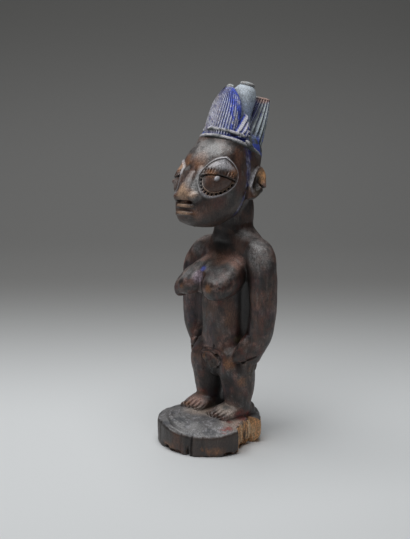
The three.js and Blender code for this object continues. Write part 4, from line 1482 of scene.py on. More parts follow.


# The patches of stain, painted shade and painted highlight in the order in which they came, wherever two of
# them meet.
STAINS_AND_PAINTED_LIGHT = (
    ColourPatches(Hue.WORN, (
        (4, -14, 229, 9, 11, 0.6), (-9, -13, 226, 6, 8, 0.5), (16.6, -13.3, 220, 6.5, 4.5, 0.95),
        (23.4, 1, 219, 6.5, 4.5, 0.9), (-16, -13, 219, 8, 5, 0.9), (15, -19, 131, 6.5, 6, 0.8),
        (-13, -20, 127, 6, 6, 0.95), (26, 9, 53, 6, 6, 0.75), (-6, -38, 4, 9, 4.5, 0.7),
        (30, -21, 5, 8, 4.5, 0.7),
    )),
    ColourPatches(Hue.PINK, (
        (17, 9, 149, 9, 6, 0.65), (21, 8, 143, 4, 8, 0.5), (-4, 0, 75.4, 7, 3, 1.0),
        (-25, 6.6, 77, 4, 8, 0.8), (8, 52, 265, 10, 4, 0.8),
    )),
    # Grey: a painted highlight on the far shoulder, painted light under the far eye, and grey on the base's
    # top at the front.
    ColourPatches(Hue.GREY, (
        (8, -24, 19, 7, 6, 0.85), (-16, -16, 207, 8, 8, 0.7), (-27, 16, 148, 9, 8, 0.3),
    )),
    ColourPatches(Hue.CAMWOOD, ((10, 3, 115, 5, 5, 0.9), (-21, 3, 60, 7, 9, 0.5))),
    ColourPatches(Hue.CHESTNUT, (
        (21, 9, 227, 5, 10, 0.7), (15, 8, 104, 6, 15, 0.85), (14, 6, 116, 7, 8, 0.7),
    )),
    ColourPatches(Hue.RED, ((9, 2, 117, 4, 3, 0.6), (-17, 5, 35, 9, 2.4, 0.6), (31, -9, 21, 4, 4, 0.8))),
    ColourPatches(Hue.CAMWOOD, ((23, 9, 210, 5, 18, 0.7), (17, 13, 92, 5, 12, 0.7))),
    # Painted shade between the near arm and the trunk, and under the belly between the legs.
    ColourPatches(Hue.SHADE_UMBER, (
        (25, 16, 104, 7.5, 28, 0.95), (24, 15, 128, 6, 10, 0.9), (3, 1, 63, 11, 9, 0.95),
        (25, 14, 122, 7, 12, 0.9),
    )),
    # Painted shade between the legs, in the ear's hollow and in a notch in the base's side.
    ColourPatches(Hue.SOOT_AND_SHADE, (
        (3, 3, 51, 9, 14, 0.9), (23, 30, 203, 6, 7, 0.85), (13, -37, 12, 5.5, 15, 0.85),
    )),
    ColourPatches(Hue.WORN, (
        (3, 5, 150, 7, 5, 0.45), (12, 8, 102, 5, 12, 0.45), (-17, 6.5, 33, 9, 3.5, 0.6),
    )),
    ColourPatches(Hue.PINK, (
        (-11, 2.5, 147, 9, 4, 0.8), (6, 0, 73, 7, 2.8, 1.0), (-15, 0, 28, 12, 7, 0.95),
    )),
    ColourPatches(Hue.CAMWOOD, ((1, 0.4, 69, 5, 4, 0.6), (8, 1, 75, 6, 3, 0.6))),
    ColourPatches(Hue.PALE, ((22.5, 23.5, 208, 4, 12, 0.9), (20.6, -5, 228, 8, 5, 0.4))),
    ColourPatches(Hue.WORN_PALE, ((0, -29, 207, 7.5, 11, 0.75), (-14, -17, 221, 5, 4, 0.7))),
    ColourPatches(Hue.WORN, ((3, -31, 199, 9, 4, 0.8), (-20, -5, 25, 5, 3, 0.7))),
    ColourPatches(Hue.CREAM, ((15.5, 4, 28, 12, 7, 1.0), (-3, 3, 23, 19, 4, 0.85))),
    ColourPatches(Hue.RED, ((24, 11, 24, 8, 4, 0.85), (25, -3, 22, 2.6, 3, 0.9))),
    ColourPatches(Hue.CREAM, ((32, 6, 21, 6, 3.4, 0.5), (26, 2, 23, 7, 5, 0.7))),
    ColourPatches(Hue.SLATE, ((15, 0, 147, 9, 4, 0.75), (15, 3, 29.4, 5, 2.6, 0.75))),
    ColourPatches(Hue.PINK, ((22, 9, 147, 8, 7, 0.95), (3, 3, 149, 10, 3.5, 0.6), (16, 10, 33, 10, 3, 0.6))),
    # Painted shadow on the neck under the chin, and painted shade in a crack of the base.
    ColourPatches(Hue.SOOT_AND_SHADE, (
        (4, 4, 158, 17, 10, 0.85), (4, 0, 166, 16, 8, 0.6), (0, 13, 162, 16, 12, 0.9),
        (26.2, 14.5, 10, 3.0, 16, 0.95),
    )),
    # Two small painted glints of light: one low between the legs and one on the near arm.
    ColourPatches(Hue.PALE, ((8, 8.5, 35.6, 1.3, 1.3, 1.0), (28, 13.7, 143.4, 1.3, 1.2, 1.0))),
    # Painted highlights on the near breast and the near shoulder.
    ColourPatches(Hue.GREY, ((14, -8, 141, 10, 8, 0.3), (35, 18, 153, 15, 18, 0.5))),
    ColourPatches(Hue.RED, ((25.5, 9, 24, 8, 5, 0.95), (24, 17, 23, 6, 4, 0.9))),
    ColourPatches(Hue.WORN_PALE, ((8, -25, 205, 6, 5, 0.8), (0, -32, 204, 10, 9, 0.5))),
    ColourPatches(Hue.CHESTNUT, ((14, -12, 194, 13, 11, 0.6),)),
    # Painted light over the hollow between the nose and the near eye, and a painted highlight on the
    # forehead.
    ColourPatches(Hue.GREY, (
        (4, -24, 212, 8, 6, 0.4), (9, -19, 212, 7, 14, 0.7), (8, -22, 203, 7, 6, 0.6),
        (8, -22, 212, 5, 10, 0.75), (5, -14, 236, 20, 14, 0.45),
    )),
    ColourPatches(Hue.WORN, ((8.5, -22, 190, 4.5, 6, 0.55), (-2, 4, 24, 9, 5, 0.4))),
    # Painted shade between the legs and under the belly.
    ColourPatches(Hue.SOOT_AND_SHADE, ((0, 14, 44, 12, 22, 0.9), (0, 5, 58, 7, 6, 0.6), (-5, 8, 48, 8, 20, 0.9))),
    ColourPatches(Hue.CREAM, ((-10, -5, 22, 14, 4, 0.6), (30, 2, 21.5, 9, 4, 0.6))),
    # Painted shade under the jaw.
    ColourPatches(Hue.SHADE_UMBER, ((9, -18, 181, 15, 8, 0.6), (16, -6, 188, 12, 9, 0.5))),
    ColourPatches(Hue.WORN_PALE, ((0, -30, 195.8, 12, 2.6, 0.7), (0, -31, 190.2, 12, 2.4, 0.65))),
    ColourPatches(Hue.CAMWOOD, ((22, 12, 26, 8, 5, 0.7),)),
    ColourPatches(Hue.LILAC, ((-3.6, -8, 134.5, 6, 8, 0.95),)),
    ColourPatches(Hue.BLUE, ((-1.2, -4, 140.6, 4, 3.4, 1.0),)),
    ColourPatches(Hue.OLIVE, ((28, 16, 60, 6, 6, 0.5),)),
    # Painted shade under the jaw, and a painted shadow line under the near fingers' ends.
    ColourPatches(Hue.SOOT_AND_SHADE, ((14, -8, 186, 14, 8, 0.5), (31, 14.5, 59.5, 5, 1.8, 0.8))),
    ColourPatches(Hue.CAMWOOD, ((17, -8, 199, 10, 5, 0.7), (18, -7, 196, 9, 6, 0.6))),
    ColourPatches(Hue.PINK, ((9, 7, 147, 12, 6, 0.7), (9.5, -20, 190, 5, 8, 0.55))),
    ColourPatches(Hue.RAW, ((24, 32.5, 210.5, 5, 9.5, 0.95),)),
    ColourPatches(Hue.PALE, ((23.6, 26, 214, 3.4, 6, 0.9), (23, 22.4, 205.5, 3, 6, 0.7))),
    ColourPatches(Hue.PINK, ((25, 34, 204.5, 4, 4, 0.8),)),
    ColourPatches(Hue.OLIVE, ((22, 28, 198, 7, 6, 0.6),)),
    ColourPatches(Hue.SLATE, ((-14, -5, 142, 6, 5, 0.6),)),
    # Painted highlights on the far breast.
    ColourPatches(Hue.GREY, ((-14, -8, 141, 10, 8, 0.45), (-16, -9, 134, 8, 7, 0.6))),
    ColourPatches(Hue.PINK, ((-8, 6, 147, 9, 5, 0.6),)),
    # Painted shade in the ear's hollow.
    ColourPatches(Hue.SOOT_AND_SHADE, ((25.5, 31, 199.6, 5, 6, 0.8),)),
    ColourPatches(Hue.VIOLET, ((28, 13, 96, 5, 14, 0.5),)),
    ColourPatches(Hue.CAMWOOD, ((24, 13, 88, 6, 14, 0.8),)),
    ColourPatches(Hue.PINK, ((20.5, 9.5, 77, 5, 7, 0.9),)),
    ColourPatches(Hue.WORN, ((19, 2, 67, 7, 7, 0.6), (4, 6, 148, 16, 8, 0.3))),
    ColourPatches(Hue.PINK, ((23, 5, 58, 3.5, 5, 0.5),)),
    ColourPatches(Hue.YELLOW, ((18, 13.4, 84, 5, 4, 0.85),)),
    # Painted shade between the near arm and the trunk.
    ColourPatches(Hue.SOOT_AND_SHADE, ((22, 17, 112, 9, 34, 0.95),)),
)


@dataclass(frozen=True)
class Colouring:
    """Where old dirt, handling, pigment, painted shade and painted highlights lie on the carving, as masks
    and coats kept in the mesh.
    """

    carving: Carving
    close_step: float = 1.3
    middle_step: float = 3.0
    wide_step: float = 7.0
    normal_step: float = 0.22
    # How much of the dirt and painted shade in hollows stays off the hair, off cords and leaves, off the
    # face and off raw wood.
    spared_hair: float = 0.45
    spared_cords: float = 0.75
    spared_face: float = 0.6
    spared_raw: float = 0.95

    def read(self, points: Array, normals: Array) -> Skin:
        """How hidden and how exposed each point is, from the distance some way outside and inside it."""
        measure = self.carving.figure.measure
        region = measure(points).region

        def shut(step: float) -> Array:
            """How much less room there is outside than over a flat surface."""
            return np.clip(1 - measure(points + step * normals).distance / step, 0, 1)

        close, middle, wide = (shut(step) for step in (self.close_step, self.middle_step, self.wide_step))
        inside = measure(points - self.middle_step * normals).distance
        edge = np.clip(1.15 + inside / self.middle_step, 0, 1)
        return Skin(points, normals, region, np.clip(0.6 * close + 0.55 * middle, 0, 1), wide, edge)

    def coats(self, skin: Skin) -> Coats:
        """Every coat on the wood, laid in the order in which it came, and then the patches of stain,
        painted shade and painted highlight.
        """
        coats = Coats(skin)
        for lay in (self.lay_body, self.lay_eyes, self.lay_hairline, self.lay_hair, self.lay_base):
            lay(coats, skin)
        ragged = 0.45 + 0.55 * skin.mottle(size=2.4, seed=41)
        for patch_group in STAINS_AND_PAINTED_LIGHT:
            patch_group.lay(coats, ragged)
        return coats

    @staticmethod
    def lay_body(coats: Coats, skin: Skin) -> None:
        """Camwood in the hollows, brown wear on the edges, grey bloom with a painted highlight on what
        faces up, and painted shade on what faces down.
        """
        body = (1 - skin.on(*HAIR)) * (1 - skin.on(Region.BASE))
        low = body * ramp(-skin.points[:, 2], -175, -120)
        sheltered = body * np.clip(skin.hollow + 0.6 * skin.wide, 0, 1)
        coats.mottle(Hue.CHESTNUT, 0.55 * body, size=9, seed=42)
        coats.mottle(Hue.CAMWOOD, 0.8 * sheltered, size=3, seed=43, spread=(-0.5, 0.2))
        coats.mottle(Hue.VIOLET, 0.35 * low, size=11, seed=44, spread=(0.0, 0.5))
        pink = 0.42 * low * skin.mottle(size=17, seed=46)
        coats.mottle(Hue.PINK, pink, size=5, seed=45, spread=(0.15, 0.5))
        worn = 0.55 * body * ramp(skin.edge, 0.45, 0.95)
        coats.mottle(Hue.WORN, worn, size=4, seed=47, spread=(-0.4, 0.3))
        # Grey bloom with a painted highlight: lighter on what faces up, less in hollows.
        coats.lay(Hue.GREY, 0.36 * body * ramp(skin.upward(), 0.25, 0.95) * (1 - skin.hollow))
        coats.mottle(Hue.GREY, 0.16 * body, size=2.2, seed=48, spread=(0.3, 0.6), tall=1.8)
        # Painted shade: darker brown on what faces down.
        coats.lay(Hue.SHADE_UMBER, 0.6 * body * ramp(-skin.upward(), 0.0, 0.6))
        coats.mottle(Hue.CAMWOOD, 0.5 * low, size=4, seed=49, spread=(0.1, 0.5))
        coats.mottle(Hue.SOOT_AND_SHADE, 0.75 * body * (1 - 0.8 * skin.edge), size=3, seed=50, spread=(0.0, 0.4))

    def lay_eyes(self, coats: Coats, skin: Skin) -> None:
        """Pale handled rims and notched bands, painted shade in pits and lid cuts, painted highlight on lid
        tops and the near boss.
        """
        head = self.carving.figure.head
        eye, face = head.eye, skin.on(Region.FACE)
        places = head.rolled(self.carving.figure.in_head(skin.points))
        across, up = eye.flat(head.bearing(places), places[:, 2])
        reach, over = eye.reach(across, up), eye.over_line(across, up)
        coats.lay(Hue.PALE, 0.75 * face * bump(reach, 0.965, 0.09))
        coats.lay(Hue.WORN_PALE, 0.5 * face * bump(reach, *eye.bead) * (up < -1))
        notch = face * bump(reach, eye.notched[0], 0.07) * (over < -0.5)
        pits = eye.pits(across, up)
        coats.lay(Hue.WORN_PALE, 0.6 * notch * (1 - pits))
        # Painted shade: the notches' pits go near black, with blue over some of them.
        coats.lay(Hue.SOOT_AND_SHADE, 0.95 * notch * pits)
        coats.lay(Hue.DEEP_BLUE, 0.7 * notch * (across < -4) * pits)
        lid = face * (reach < eye.lid_edge) * ramp(over, 0, 0.6)
        # Painted highlight: the upper dome of each lid is laid pale.
        coats.lay(Hue.PALE, 0.65 * lid * ramp(up, 4, 8))
        # Painted shadow along the cut under the lid's edge.
        coats.lay(Hue.SOOT_AND_SHADE, 0.95 * face * bump(over, -0.5, 0.7) * (reach < 0.86))
        ball = face * (reach < eye.ball_edge) * (over < -1)
        coats.lay(Hue.CHESTNUT, 0.5 * ball)
        boss = np.hypot((across - eye.boss[0]) / 1.9, (up - eye.boss[1]) / 2.3)
        # Painted highlight: a pale spot on the near eye's boss only.
        coats.lay(Hue.PALE, ball * (1 - ramp(boss, 0.5, 1.1)) * (skin.points[:, 0] > 0))

    @staticmethod
    def lay_hairline(coats: Coats, skin: Skin) -> None:
        """Blue and mist rubbed along the hairline, and blue on the left temple."""
        x, y, z = skin.points.T
        line = bump(y + 0.3 * np.maximum(0, 200 - z), 19, 3.0) * (np.abs(x) > 12)
        line = line * ramp(z, 172, 190) * ramp(-z, -240, -236) * skin.on(Region.FACE, Region.TRUNK)
        coats.mottle(Hue.DEEP_BLUE, line, size=2.2, seed=51, spread=(-0.6, 0.1))
        coats.mottle(Hue.MIST, 0.6 * line, size=1.6, seed=52, spread=(0.0, 0.5))
        temple = bump(y, 21, 5) * ramp(z, 224, 232) * (x > 0) * skin.on(Region.FACE)
        coats.mottle(Hue.DEEP_BLUE, 0.8 * temple, size=2.0, seed=53, spread=(-0.3, 0.2))

    def lay_hair(self, coats: Coats, skin: Skin) -> None:
        """Blue pigment deep in the grooves, pale mist over the ridges, partly rubbed and partly painted
        sheen, a pale sea-blue cone, and cords with painted highlight on top and painted shadow beneath.
        """
        x, y, z = skin.points.T
        figure, groove = self.carving.figure, ramp(skin.hollow, 0.12, 0.5)
        over_cord = figure.hair.lower_cord().over(figure.in_head(skin.points))
        nape = skin.on(Region.FACE) * ramp(over_cord, 0.2, 0.8)
        coats.lay(Hue.SLATE, 0.95 * nape)
        coats.mottle(Hue.BLUE, 0.8 * nape, size=2.4, seed=60, spread=(-0.3, 0.2), tall=3)
        # The front lobe turns from misty on its right, partly dust and partly painted sheen, to blue on its
        # left.
        front, left = skin.on(Region.FRONT_LOBE), ramp(x + 0.6 * (y - 15), -6, 12)
        coats.lay(Hue.MIST, 0.92 * front)
        coats.mottle(Hue.SKY, 0.7 * front * left, size=5, seed=61, spread=(-0.5, 0.3), tall=3)
        coats.lay(Hue.BLUE, front * np.clip(0.25 + 0.9 * left, 0, 1) * groove)
        full, right = front * ramp(left, 0.5, 1), front * (1 - left)
        coats.mottle(Hue.BLUE, 0.9 * full, size=2.6, seed=62, spread=(0.0, 0.35), tall=5)
        coats.mottle(Hue.DEEP_BLUE, 0.6 * right, size=1.1, seed=63, spread=(0.2, 0.5), tall=1.6)
        coats.mottle(Hue.WORN, 0.2 * right, size=3, seed=64, spread=(0.2, 0.5))
        back = skin.on(Region.BACK_LOBE)
        coats.lay(Hue.SLATE, 0.9 * back)
        coats.lay(Hue.SEA, 0.75 * back * ramp(skin.edge, 0.2, 0.6))
        ahead, low = back * ramp(-y, -42, -30), back * ramp(-z, -245, -236)
        coats.mottle(Hue.SKY, 0.6 * ahead, size=4, seed=65, spread=(-0.1, 0.4), tall=3)
        coats.lay(Hue.DEEP_BLUE, 0.85 * back * groove)
        coats.mottle(Hue.BLUE, 0.75 * low, size=2.4, seed=69, spread=(-0.1, 0.3), tall=3)
        cone, cap = skin.on(Region.CONE), skin.on(Region.CAP)
        coats.lay(Hue.ICE, 0.95 * cone)
        foot = cone * ramp(-z, -274, -256)
        coats.mottle(Hue.CORNFLOWER, 0.85 * foot, size=4, seed=66, spread=(-0.4, 0.3))
        coats.lay(Hue.GREY, 0.9 * cap)
        coats.mottle(Hue.SEA, 0.5 * cap, size=3, seed=67)
        leaf, cord = skin.on(Region.LEAF), skin.on(Region.CORD)
        coats.lay(Hue.MIST, 0.95 * leaf)
        coats.lay(Hue.BLUE, leaf * groove)
        coats.lay(Hue.SLATE, 0.9 * cord)
        # Painted highlight on the cords' upper sides, and painted shadow under them.
        lit = cord * ramp(skin.upward(), -0.6, 0.2)
        coats.mottle(Hue.PALE, 0.9 * lit, size=4, seed=68, spread=(-0.8, 0.0))
        coats.lay(Hue.SOOT_AND_SHADE, 0.9 * cord * ramp(-skin.upward(), 0.4, 0.9))

    @staticmethod
    def lay_base(coats: Coats, skin: Skin) -> None:
        """A grey worn top with darker arcs, red and cream crust, and raw wood where the block broke."""
        x, y, z = skin.points.T
        bearing, out = np.degrees(np.arctan2(y, x)), np.hypot(x, y)

        def spot(x_mm: float, y_mm: float, full: float, end: float) -> Array:
            """A round patch of the top, full to one reach and gone at the other."""
            return top * (1 - ramp(np.hypot(x - x_mm, y - y_mm), full, end))

        base = skin.on(Region.BASE)
        top = base * ramp(skin.upward(), 0.4, 0.9) * (z > 8)
        coats.lay(Hue.STONE, top)
        coats.mottle(Hue.GREY, 0.6 * top, size=13, seed=71, spread=(-0.2, 0.6))
        coats.mottle(Hue.INK, 0.75 * top, size=5, seed=72, spread=(0.1, 0.5))
        coats.mottle(Hue.PALE, 0.5 * top, size=1.6, seed=73, spread=(0.35, 0.6))
        arcs = Base.grain_arcs(skin.points, (0.2, 0.6), (math.radians(-109), math.radians(50)))
        coats.lay(Hue.SOOT_AND_SHADE, 0.75 * top * arcs)
        rubbed = base * (z > 12) * ramp(skin.edge, 0.7, 1.0)
        coats.mottle(Hue.PALE, 0.6 * rubbed, size=4, seed=79, spread=(-0.2, 0.3))
        coats.lay(Hue.CREAM, 0.7 * spot(28, 0, 6, 14))
        red = np.clip(spot(27, 4, 4, 12) + spot(30, -12, 2, 6), 0, 1)
        coats.mottle(Hue.RED, 0.95 * red, size=1.3, seed=78, spread=(0.0, 0.25))
        side = base * (skin.upward() < 0.5)
        coats.lay(Hue.BARK, 0.6 * side)
        scorched = side * bump(bearing, -84, 16)
        coats.mottle(Hue.CHESTNUT, 0.5 * scorched, size=4, seed=74, spread=(-0.4, 0.2), tall=4)
        ragged = bearing + 1.6 * grain(skin.points, (2, 2, 3), 80)
        torn = side * ramp(ragged, -10, -9) * ramp(-ragged, -56, -50)
        coats.lay(Hue.RAW, 0.95 * torn)
        coats.mottle(Hue.SPLINTER, 0.7 * torn, size=1.6, seed=75, spread=(0.0, 0.4), tall=6)
        coats.mottle(Hue.CHESTNUT, 0.6 * torn, size=1.2, seed=76, spread=(0.2, 0.5), tall=9)
        chipped = side * (out < 37.5) * (z < 9) * (torn < 0.5)
        coats.mottle(Hue.WORN, 0.6 * chipped, size=3, seed=77, spread=(-0.2, 0.3))

    def dirt_and_shade(self, skin: Skin, coats: Coats) -> Array:
        """Old dirt and painted shade in the hollows, less of both where hands or breakage keep the surface
        free of dirt.
        """
        raw = skin.on(Region.BASE) * (np.linalg.norm(coats.colour - Hue.RAW.value, axis=1) < 0.3)
        spared = np.maximum.reduce([
            self.spared_hair * skin.on(*HAIR), self.spared_cords * skin.on(Region.CORD, Region.LEAF),
            self.spared_face * skin.on(Region.FACE), self.spared_raw * raw,
        ])
        return np.clip(1.1 * skin.wide + 0.6 * skin.hollow, 0, 1) * (1 - spared)

    def put(self, mesh: bpy.types.Mesh) -> None:
        """Writes the coats, the masks and the surface's own normals into the mesh."""
        points, _ = read_mesh(mesh)
        points *= 1000
        _, gradient = self.carving.slope(points, self.normal_step)
        normals = gradient / (np.linalg.norm(gradient, axis=1)[:, None] + 1e-9)
        skin = self.read(points, normals)
        coats = self.coats(skin)
        dull = np.clip(0.9 * skin.on(*HAIR) + 0.2 * coats.cover, 0, 1)
        masks = {
            "coat": np.column_stack([coats.colour, coats.cover]),
            # Old dirt with painted shade in the hollows, then edge wear and dullness.
            "age": np.column_stack([self.dirt_and_shade(skin, coats), skin.edge, dull, np.ones(len(points))]),
        }
        for name, mask in masks.items():
            attribute = mesh.attributes.new(name, "FLOAT_COLOR", "POINT")
            attribute.data.foreach_set("color", mask.astype(np.float32).ravel())
        mesh.polygons.foreach_set("use_smooth", np.ones(len(mesh.polygons), bool))
        mesh.normals_split_custom_set_from_vertices(normals.astype(np.float32))


class NodeTree:
    """Short words for putting a material's nodes together."""

    def __init__(self, name: str) -> None:
        """Starts an empty material."""
        self.material = bpy.data.materials.new(name)
        self.material.use_nodes = True
        self.tree = self.material.node_tree
        self.tree.nodes.clear()

    def node(self, kind: str, **settings: object) -> bpy.types.Node:
        """A new node with some of its properties set."""
        made = self.tree.nodes.new(kind)
        for key, value in settings.items():
            setattr(made, key, value)
        return made

    def feed(self, socket: Socket, value: object) -> None:
        """Links a socket to another, or sets its value."""
        if isinstance(value, Socket):
            self.tree.links.new(value, socket)
        elif isinstance(value, tuple) and len(value) == 3 and socket.type == "RGBA":
            socket.default_value = (*value, 1.0)
        else:
            socket.default_value = value

    def mix(self, share: object, first: object, second: object, blend: str = "MIX") -> Socket:
        """Two colours mixed by a share."""
        made = self.node("ShaderNodeMix", data_type="RGBA", blend_type=blend)
        sockets = [socket for socket in made.inputs if socket.enabled]
        for socket, value in zip(sockets, (share, first, second)):
            self.feed(socket, value)
        return next(socket for socket in made.outputs if socket.enabled)

    def math(self, operation: str, *values: object, clamp: bool = False) -> Socket:
        """One sum on numbers."""
        made = self.node("ShaderNodeMath", operation=operation, use_clamp=clamp)
        for socket, value in zip(made.inputs, values):
            self.feed(socket, value)
        return made.outputs["Value"]

    def between(self, value: object, low: float, high: float, to: Span = (0.0, 1.0)) -> Socket:
        """A value carried from one range to another and held inside it."""
        made = self.node("ShaderNodeMapRange", interpolation_type="SMOOTHSTEP")
        self.feed(made.inputs["Value"], value)
        for name, number in zip(("From Min", "From Max", "To Min", "To Max"), (low, high, *to)):
            made.inputs[name].default_value = number
        return made.outputs["Result"]

    def surface(self, sockets: dict[str, object]) -> bpy.types.Material:
        """The material, ended by a Principled surface whose sockets are fed by name."""
        shader = self.node("ShaderNodeBsdfPrincipled")
        for name, value in sockets.items():
            self.feed(shader.inputs[name], value)
        output = self.node("ShaderNodeOutputMaterial")
        self.feed(output.inputs["Surface"], shader.outputs["BSDF"])
        return self.material

    def noise(
        self, where: object, scale: float, stretch: Place = (1, 1, 1), detail: int = 4, rough: float = 0.55
    ) -> Socket:
        """Noise on the object's own coordinates, stretched along the axes."""
        mapping = self.node("ShaderNodeMapping")
        self.feed(mapping.inputs["Vector"], where)
        mapping.inputs["Scale"].default_value = stretch
        made = self.node("ShaderNodeTexNoise")
        self.feed(made.inputs["Vector"], mapping.outputs["Vector"])
        made.inputs["Scale"].default_value = scale
        made.inputs["Detail"].default_value = detail
        made.inputs["Roughness"].default_value = rough
        return made.outputs["Fac"]


@dataclass(frozen=True)
class PatinatedWood:
    """Dark handled wood under its coats, darkened towards near black by old dirt and painted shade in its
    hollows, with fine grain, speckle and a low sheen.
    """

    dark: Colour = (0.022, 0.015, 0.013)
    brown: Colour = (0.075, 0.040, 0.028)
    ashen: Colour = (0.125, 0.094, 0.082)
    # The near black of old dirt and painted shade in the hollows.
    dirt_and_shade_colour: Colour = (0.008, 0.006, 0.005)
    # How finely each noise runs: lumps in a metre.
    broad: float = 60
    streaks: float = 520
    fine: float = 1500
    speck: float = 900
    bump_strength: float = 0.5
    bump_depth: float = 0.0006
    roughness: Span = (0.34, 0.54)
    dulled: float = 0.36
    shine: float = 0.65

    def make(self) -> bpy.types.Material:
        """The material, reading the coats in the mesh and noise on object coordinates."""
        tree = NodeTree("patinated wood")
        where = tree.node("ShaderNodeTexCoord").outputs["Object"]
        coat = tree.node("ShaderNodeAttribute", attribute_name="coat")
        split = tree.node("ShaderNodeSeparateColor")
        age = tree.node("ShaderNodeAttribute", attribute_name="age")
        tree.feed(split.inputs["Color"], age.outputs["Color"])
        dirt_and_shade, edge, dull = (split.outputs[n] for n in range(3))
        broad = tree.noise(where, self.broad, (1, 1, 0.5), detail=5)
        streaks = tree.noise(where, self.streaks, (1, 1, 0.07), detail=4, rough=0.6)
        fine = tree.noise(where, self.fine, (1, 1, 0.4), detail=3, rough=0.6)
        speck = tree.noise(where, self.speck, detail=3, rough=0.6)
        colour = tree.mix(tree.between(broad, 0.41, 0.59), self.dark, self.brown)
        ash = tree.math("MULTIPLY", tree.between(streaks, 0.48, 0.72), 0.65)
        colour = tree.mix(ash, colour, self.ashen)
        loose = tree.math("MULTIPLY", tree.math("SUBTRACT", speck, 0.5), 1.6)
        flaked = tree.math("MULTIPLY", loose, tree.between(coat.outputs["Alpha"], 0.0, 0.3))
        cover = tree.math("ADD", coat.outputs["Alpha"], flaked, clamp=True)
        shade = tree.between(fine, 0.3, 0.72, (0.5, 1.45))
        toned = tree.node("ShaderNodeVectorMath", operation="SCALE")
        tree.feed(toned.inputs["Vector"], coat.outputs["Color"])
        tree.feed(toned.inputs["Scale"], shade)
        colour = tree.mix(cover, colour, toned.outputs["Vector"])
        # Painted shade with old dirt: darker towards near black where the point is shut in.
        colour = tree.mix(tree.math("MULTIPLY", dirt_and_shade, 0.8), colour, self.dirt_and_shade_colour)
        height = tree.math("ADD", tree.math("MULTIPLY", streaks, 0.6), tree.math("MULTIPLY", speck, 0.5))
        bumps = tree.node("ShaderNodeBump")
        tree.feed(bumps.inputs["Height"], height)
        bumps.inputs["Strength"].default_value = self.bump_strength
        bumps.inputs["Distance"].default_value = self.bump_depth
        handled = tree.between(speck, 0.3, 0.7, self.roughness)
        rough = tree.math("ADD", handled, tree.math("MULTIPLY", dull, self.dulled), clamp=True)
        return tree.surface({
            "Base Color": colour, "Normal": bumps.outputs["Normal"], "Roughness": rough,
            "Specular IOR Level": self.shine,
        })


# The studio


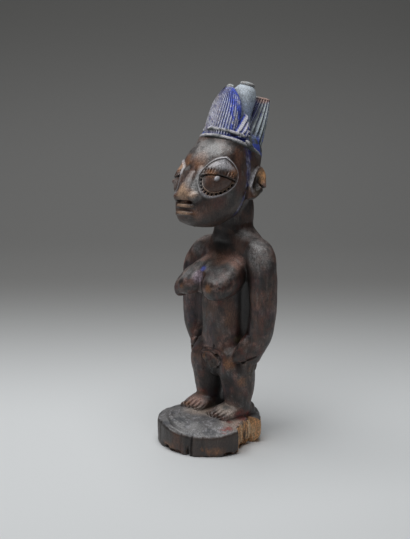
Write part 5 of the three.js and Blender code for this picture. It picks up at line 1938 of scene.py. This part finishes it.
@dataclass(frozen=True)
class Studio:
    """A sweep of paper under soft light from above, and the camera at the photograph's angle."""

    azimuth: float = math.radians(45)
    elevation: float = math.radians(17)
    distance: float = 1.15
    target: Place = (0.0, 0.010, 0.140)
    view_height: float = 0.414187
    image: tuple[int, int] = (410, 539)
    centre: Span = (218.436, 266.224)
    paper: Colour = (0.67, 0.69, 0.70)
    shade: Colour = (0.225, 0.225, 0.221)
    high_shade: Colour = (0.155, 0.155, 0.15)
    rises: Span = (0.03, 0.25)
    behind: float = 0.55
    bend: float = 0.4
    darkens: Span = (0.02, 0.44)
    # How far the paper reaches towards the camera, to each side and up, in metres.
    ahead: float = 1.6
    aside: float = 2.5
    upward: float = 2.4
    paper_roughness: float = 0.9
    paper_shine: float = 0.2
    air: tuple[float, ...] = (0.9, 0.95, 1.0, 1.0)
    air_strength: float = 0.015

    def back(self) -> Array:
        """The direction from the target to the camera."""
        ahead = np.array([math.sin(self.azimuth), -math.cos(self.azimuth)]) * math.cos(self.elevation)
        return np.array([*ahead, math.sin(self.elevation)])

    def camera(self) -> None:
        """Sets up the camera, shifted only as far as the framing needs."""
        lens = bpy.data.cameras.new("camera")
        lens.sensor_fit = "VERTICAL"
        lens.sensor_height = 24.0
        lens.lens = lens.sensor_height * self.distance / self.view_height
        lens.shift_x = (self.image[0] / 2 - self.centre[0]) / self.image[1]
        lens.shift_y = (self.centre[1] - self.image[1] / 2) / self.image[1]
        holder = placed("camera", lens)
        holder.location = np.asarray(self.target) + self.distance * self.back()
        holder.rotation_euler = (math.pi / 2 - self.elevation, 0.0, self.azimuth)
        bpy.context.scene.camera = holder

    def sweep(self) -> bpy.types.Object:
        """The paper: a floor that curves up behind the figure, as a profile carried across."""
        turn = np.linspace(0, math.pi / 2, 24)
        wall = self.behind + self.bend
        level = np.concatenate([[-self.ahead], self.behind + self.bend * np.sin(turn), [wall]])
        rise = np.concatenate([[0.0], self.bend * (1 - np.cos(turn)), [self.upward]])
        across = np.array([-self.aside, self.aside])
        away, side = -self.back()[:2], np.array([math.cos(self.azimuth), math.sin(self.azimuth)])
        away = away / np.linalg.norm(away)
        plan = level[:, None, None] * away + across[None, :, None] * side
        height = np.broadcast_to(rise[:, None, None], plan.shape[:2] + (1,))
        points = np.concatenate([plan, height], -1).reshape(-1, 3)
        row = np.arange(len(level) - 1)[:, None] * 2
        faces = row + np.array([0, 1, 3, 2])
        mesh = new_mesh("paper sweep", points, faces)
        mesh.polygons.foreach_set("use_smooth", np.ones(len(mesh.polygons), bool))
        mesh.materials.append(self.finish())
        holder = placed("paper_sweep", mesh)
        return holder

    def finish(self) -> bpy.types.Material:
        """Grey paper with painted shade: darker behind the figure and darker still up the wall."""
        paper = NodeTree("paper")
        turned = paper.node("ShaderNodeMapping")
        paper.feed(turned.inputs["Vector"], paper.node("ShaderNodeTexCoord").outputs["Object"])
        turned.inputs["Rotation"].default_value = (0.0, 0.0, -self.azimuth)
        split = paper.node("ShaderNodeSeparateXYZ")
        paper.feed(split.inputs["Vector"], turned.outputs["Vector"])
        deep = paper.between(split.outputs["Y"], *self.darkens)
        wall = paper.mix(paper.between(split.outputs["Z"], *self.rises), self.shade, self.high_shade)
        return paper.surface({
            "Base Color": paper.mix(deep, self.paper, wall), "Roughness": self.paper_roughness,
            "Specular IOR Level": self.paper_shine,
        })

    @staticmethod
    def light(
        name: str, place: Place, aim: Place, size: float, watts: float, colour: Colour = (1, 1, 1)
    ) -> None:
        """A square soft light at a place, aimed at a point."""
        lamp = bpy.data.lights.new(name, "AREA")
        lamp.size, lamp.energy, lamp.color = size, watts, colour
        holder = placed(name, lamp)
        holder.location = place
        towards = np.asarray(aim) - np.asarray(place)
        level = math.hypot(towards[0], towards[1])
        holder.rotation_euler = (math.atan2(level, -towards[2]), 0.0, math.atan2(-towards[0], towards[1]))

    def build(self) -> None:
        """Sets up camera, paper and lights."""
        self.camera()
        self.sweep()
        self.light("top softbox", (-0.06, -0.12, 0.98), (0, 0, 0.12), 0.8, 10.2)
        self.light("front fill", (0.2, -1.6, 0.7), (0, 0, 0.14), 1.3, 0.7)
        world = bpy.data.worlds.new("studio air")
        world.use_nodes = True
        background = world.node_tree.nodes["Background"]
        background.inputs["Color"].default_value = self.air
        background.inputs["Strength"].default_value = self.air_strength
        bpy.context.scene.world = world
        bpy.context.scene.view_settings.view_transform = "Standard"


def main() -> None:
    """Builds the studio and the carving, dresses it and says what each piece came to."""
    logging.basicConfig(level=logging.INFO, format="%(message)s")
    Studio().build()
    carving = Carving(Figure(), pitch=PITCH_MM)
    mesh = carving.mesh("ibeji_carving")
    Colouring(carving).put(mesh)
    mesh.materials.append(PatinatedWood().make())
    piece = placed("ibeji_carving", mesh)
    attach(piece, "root")
    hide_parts(NODE)
    LOG.info("%s: %d triangles", piece.name, len(mesh.polygons))


if __name__ == "__main__":
    main()
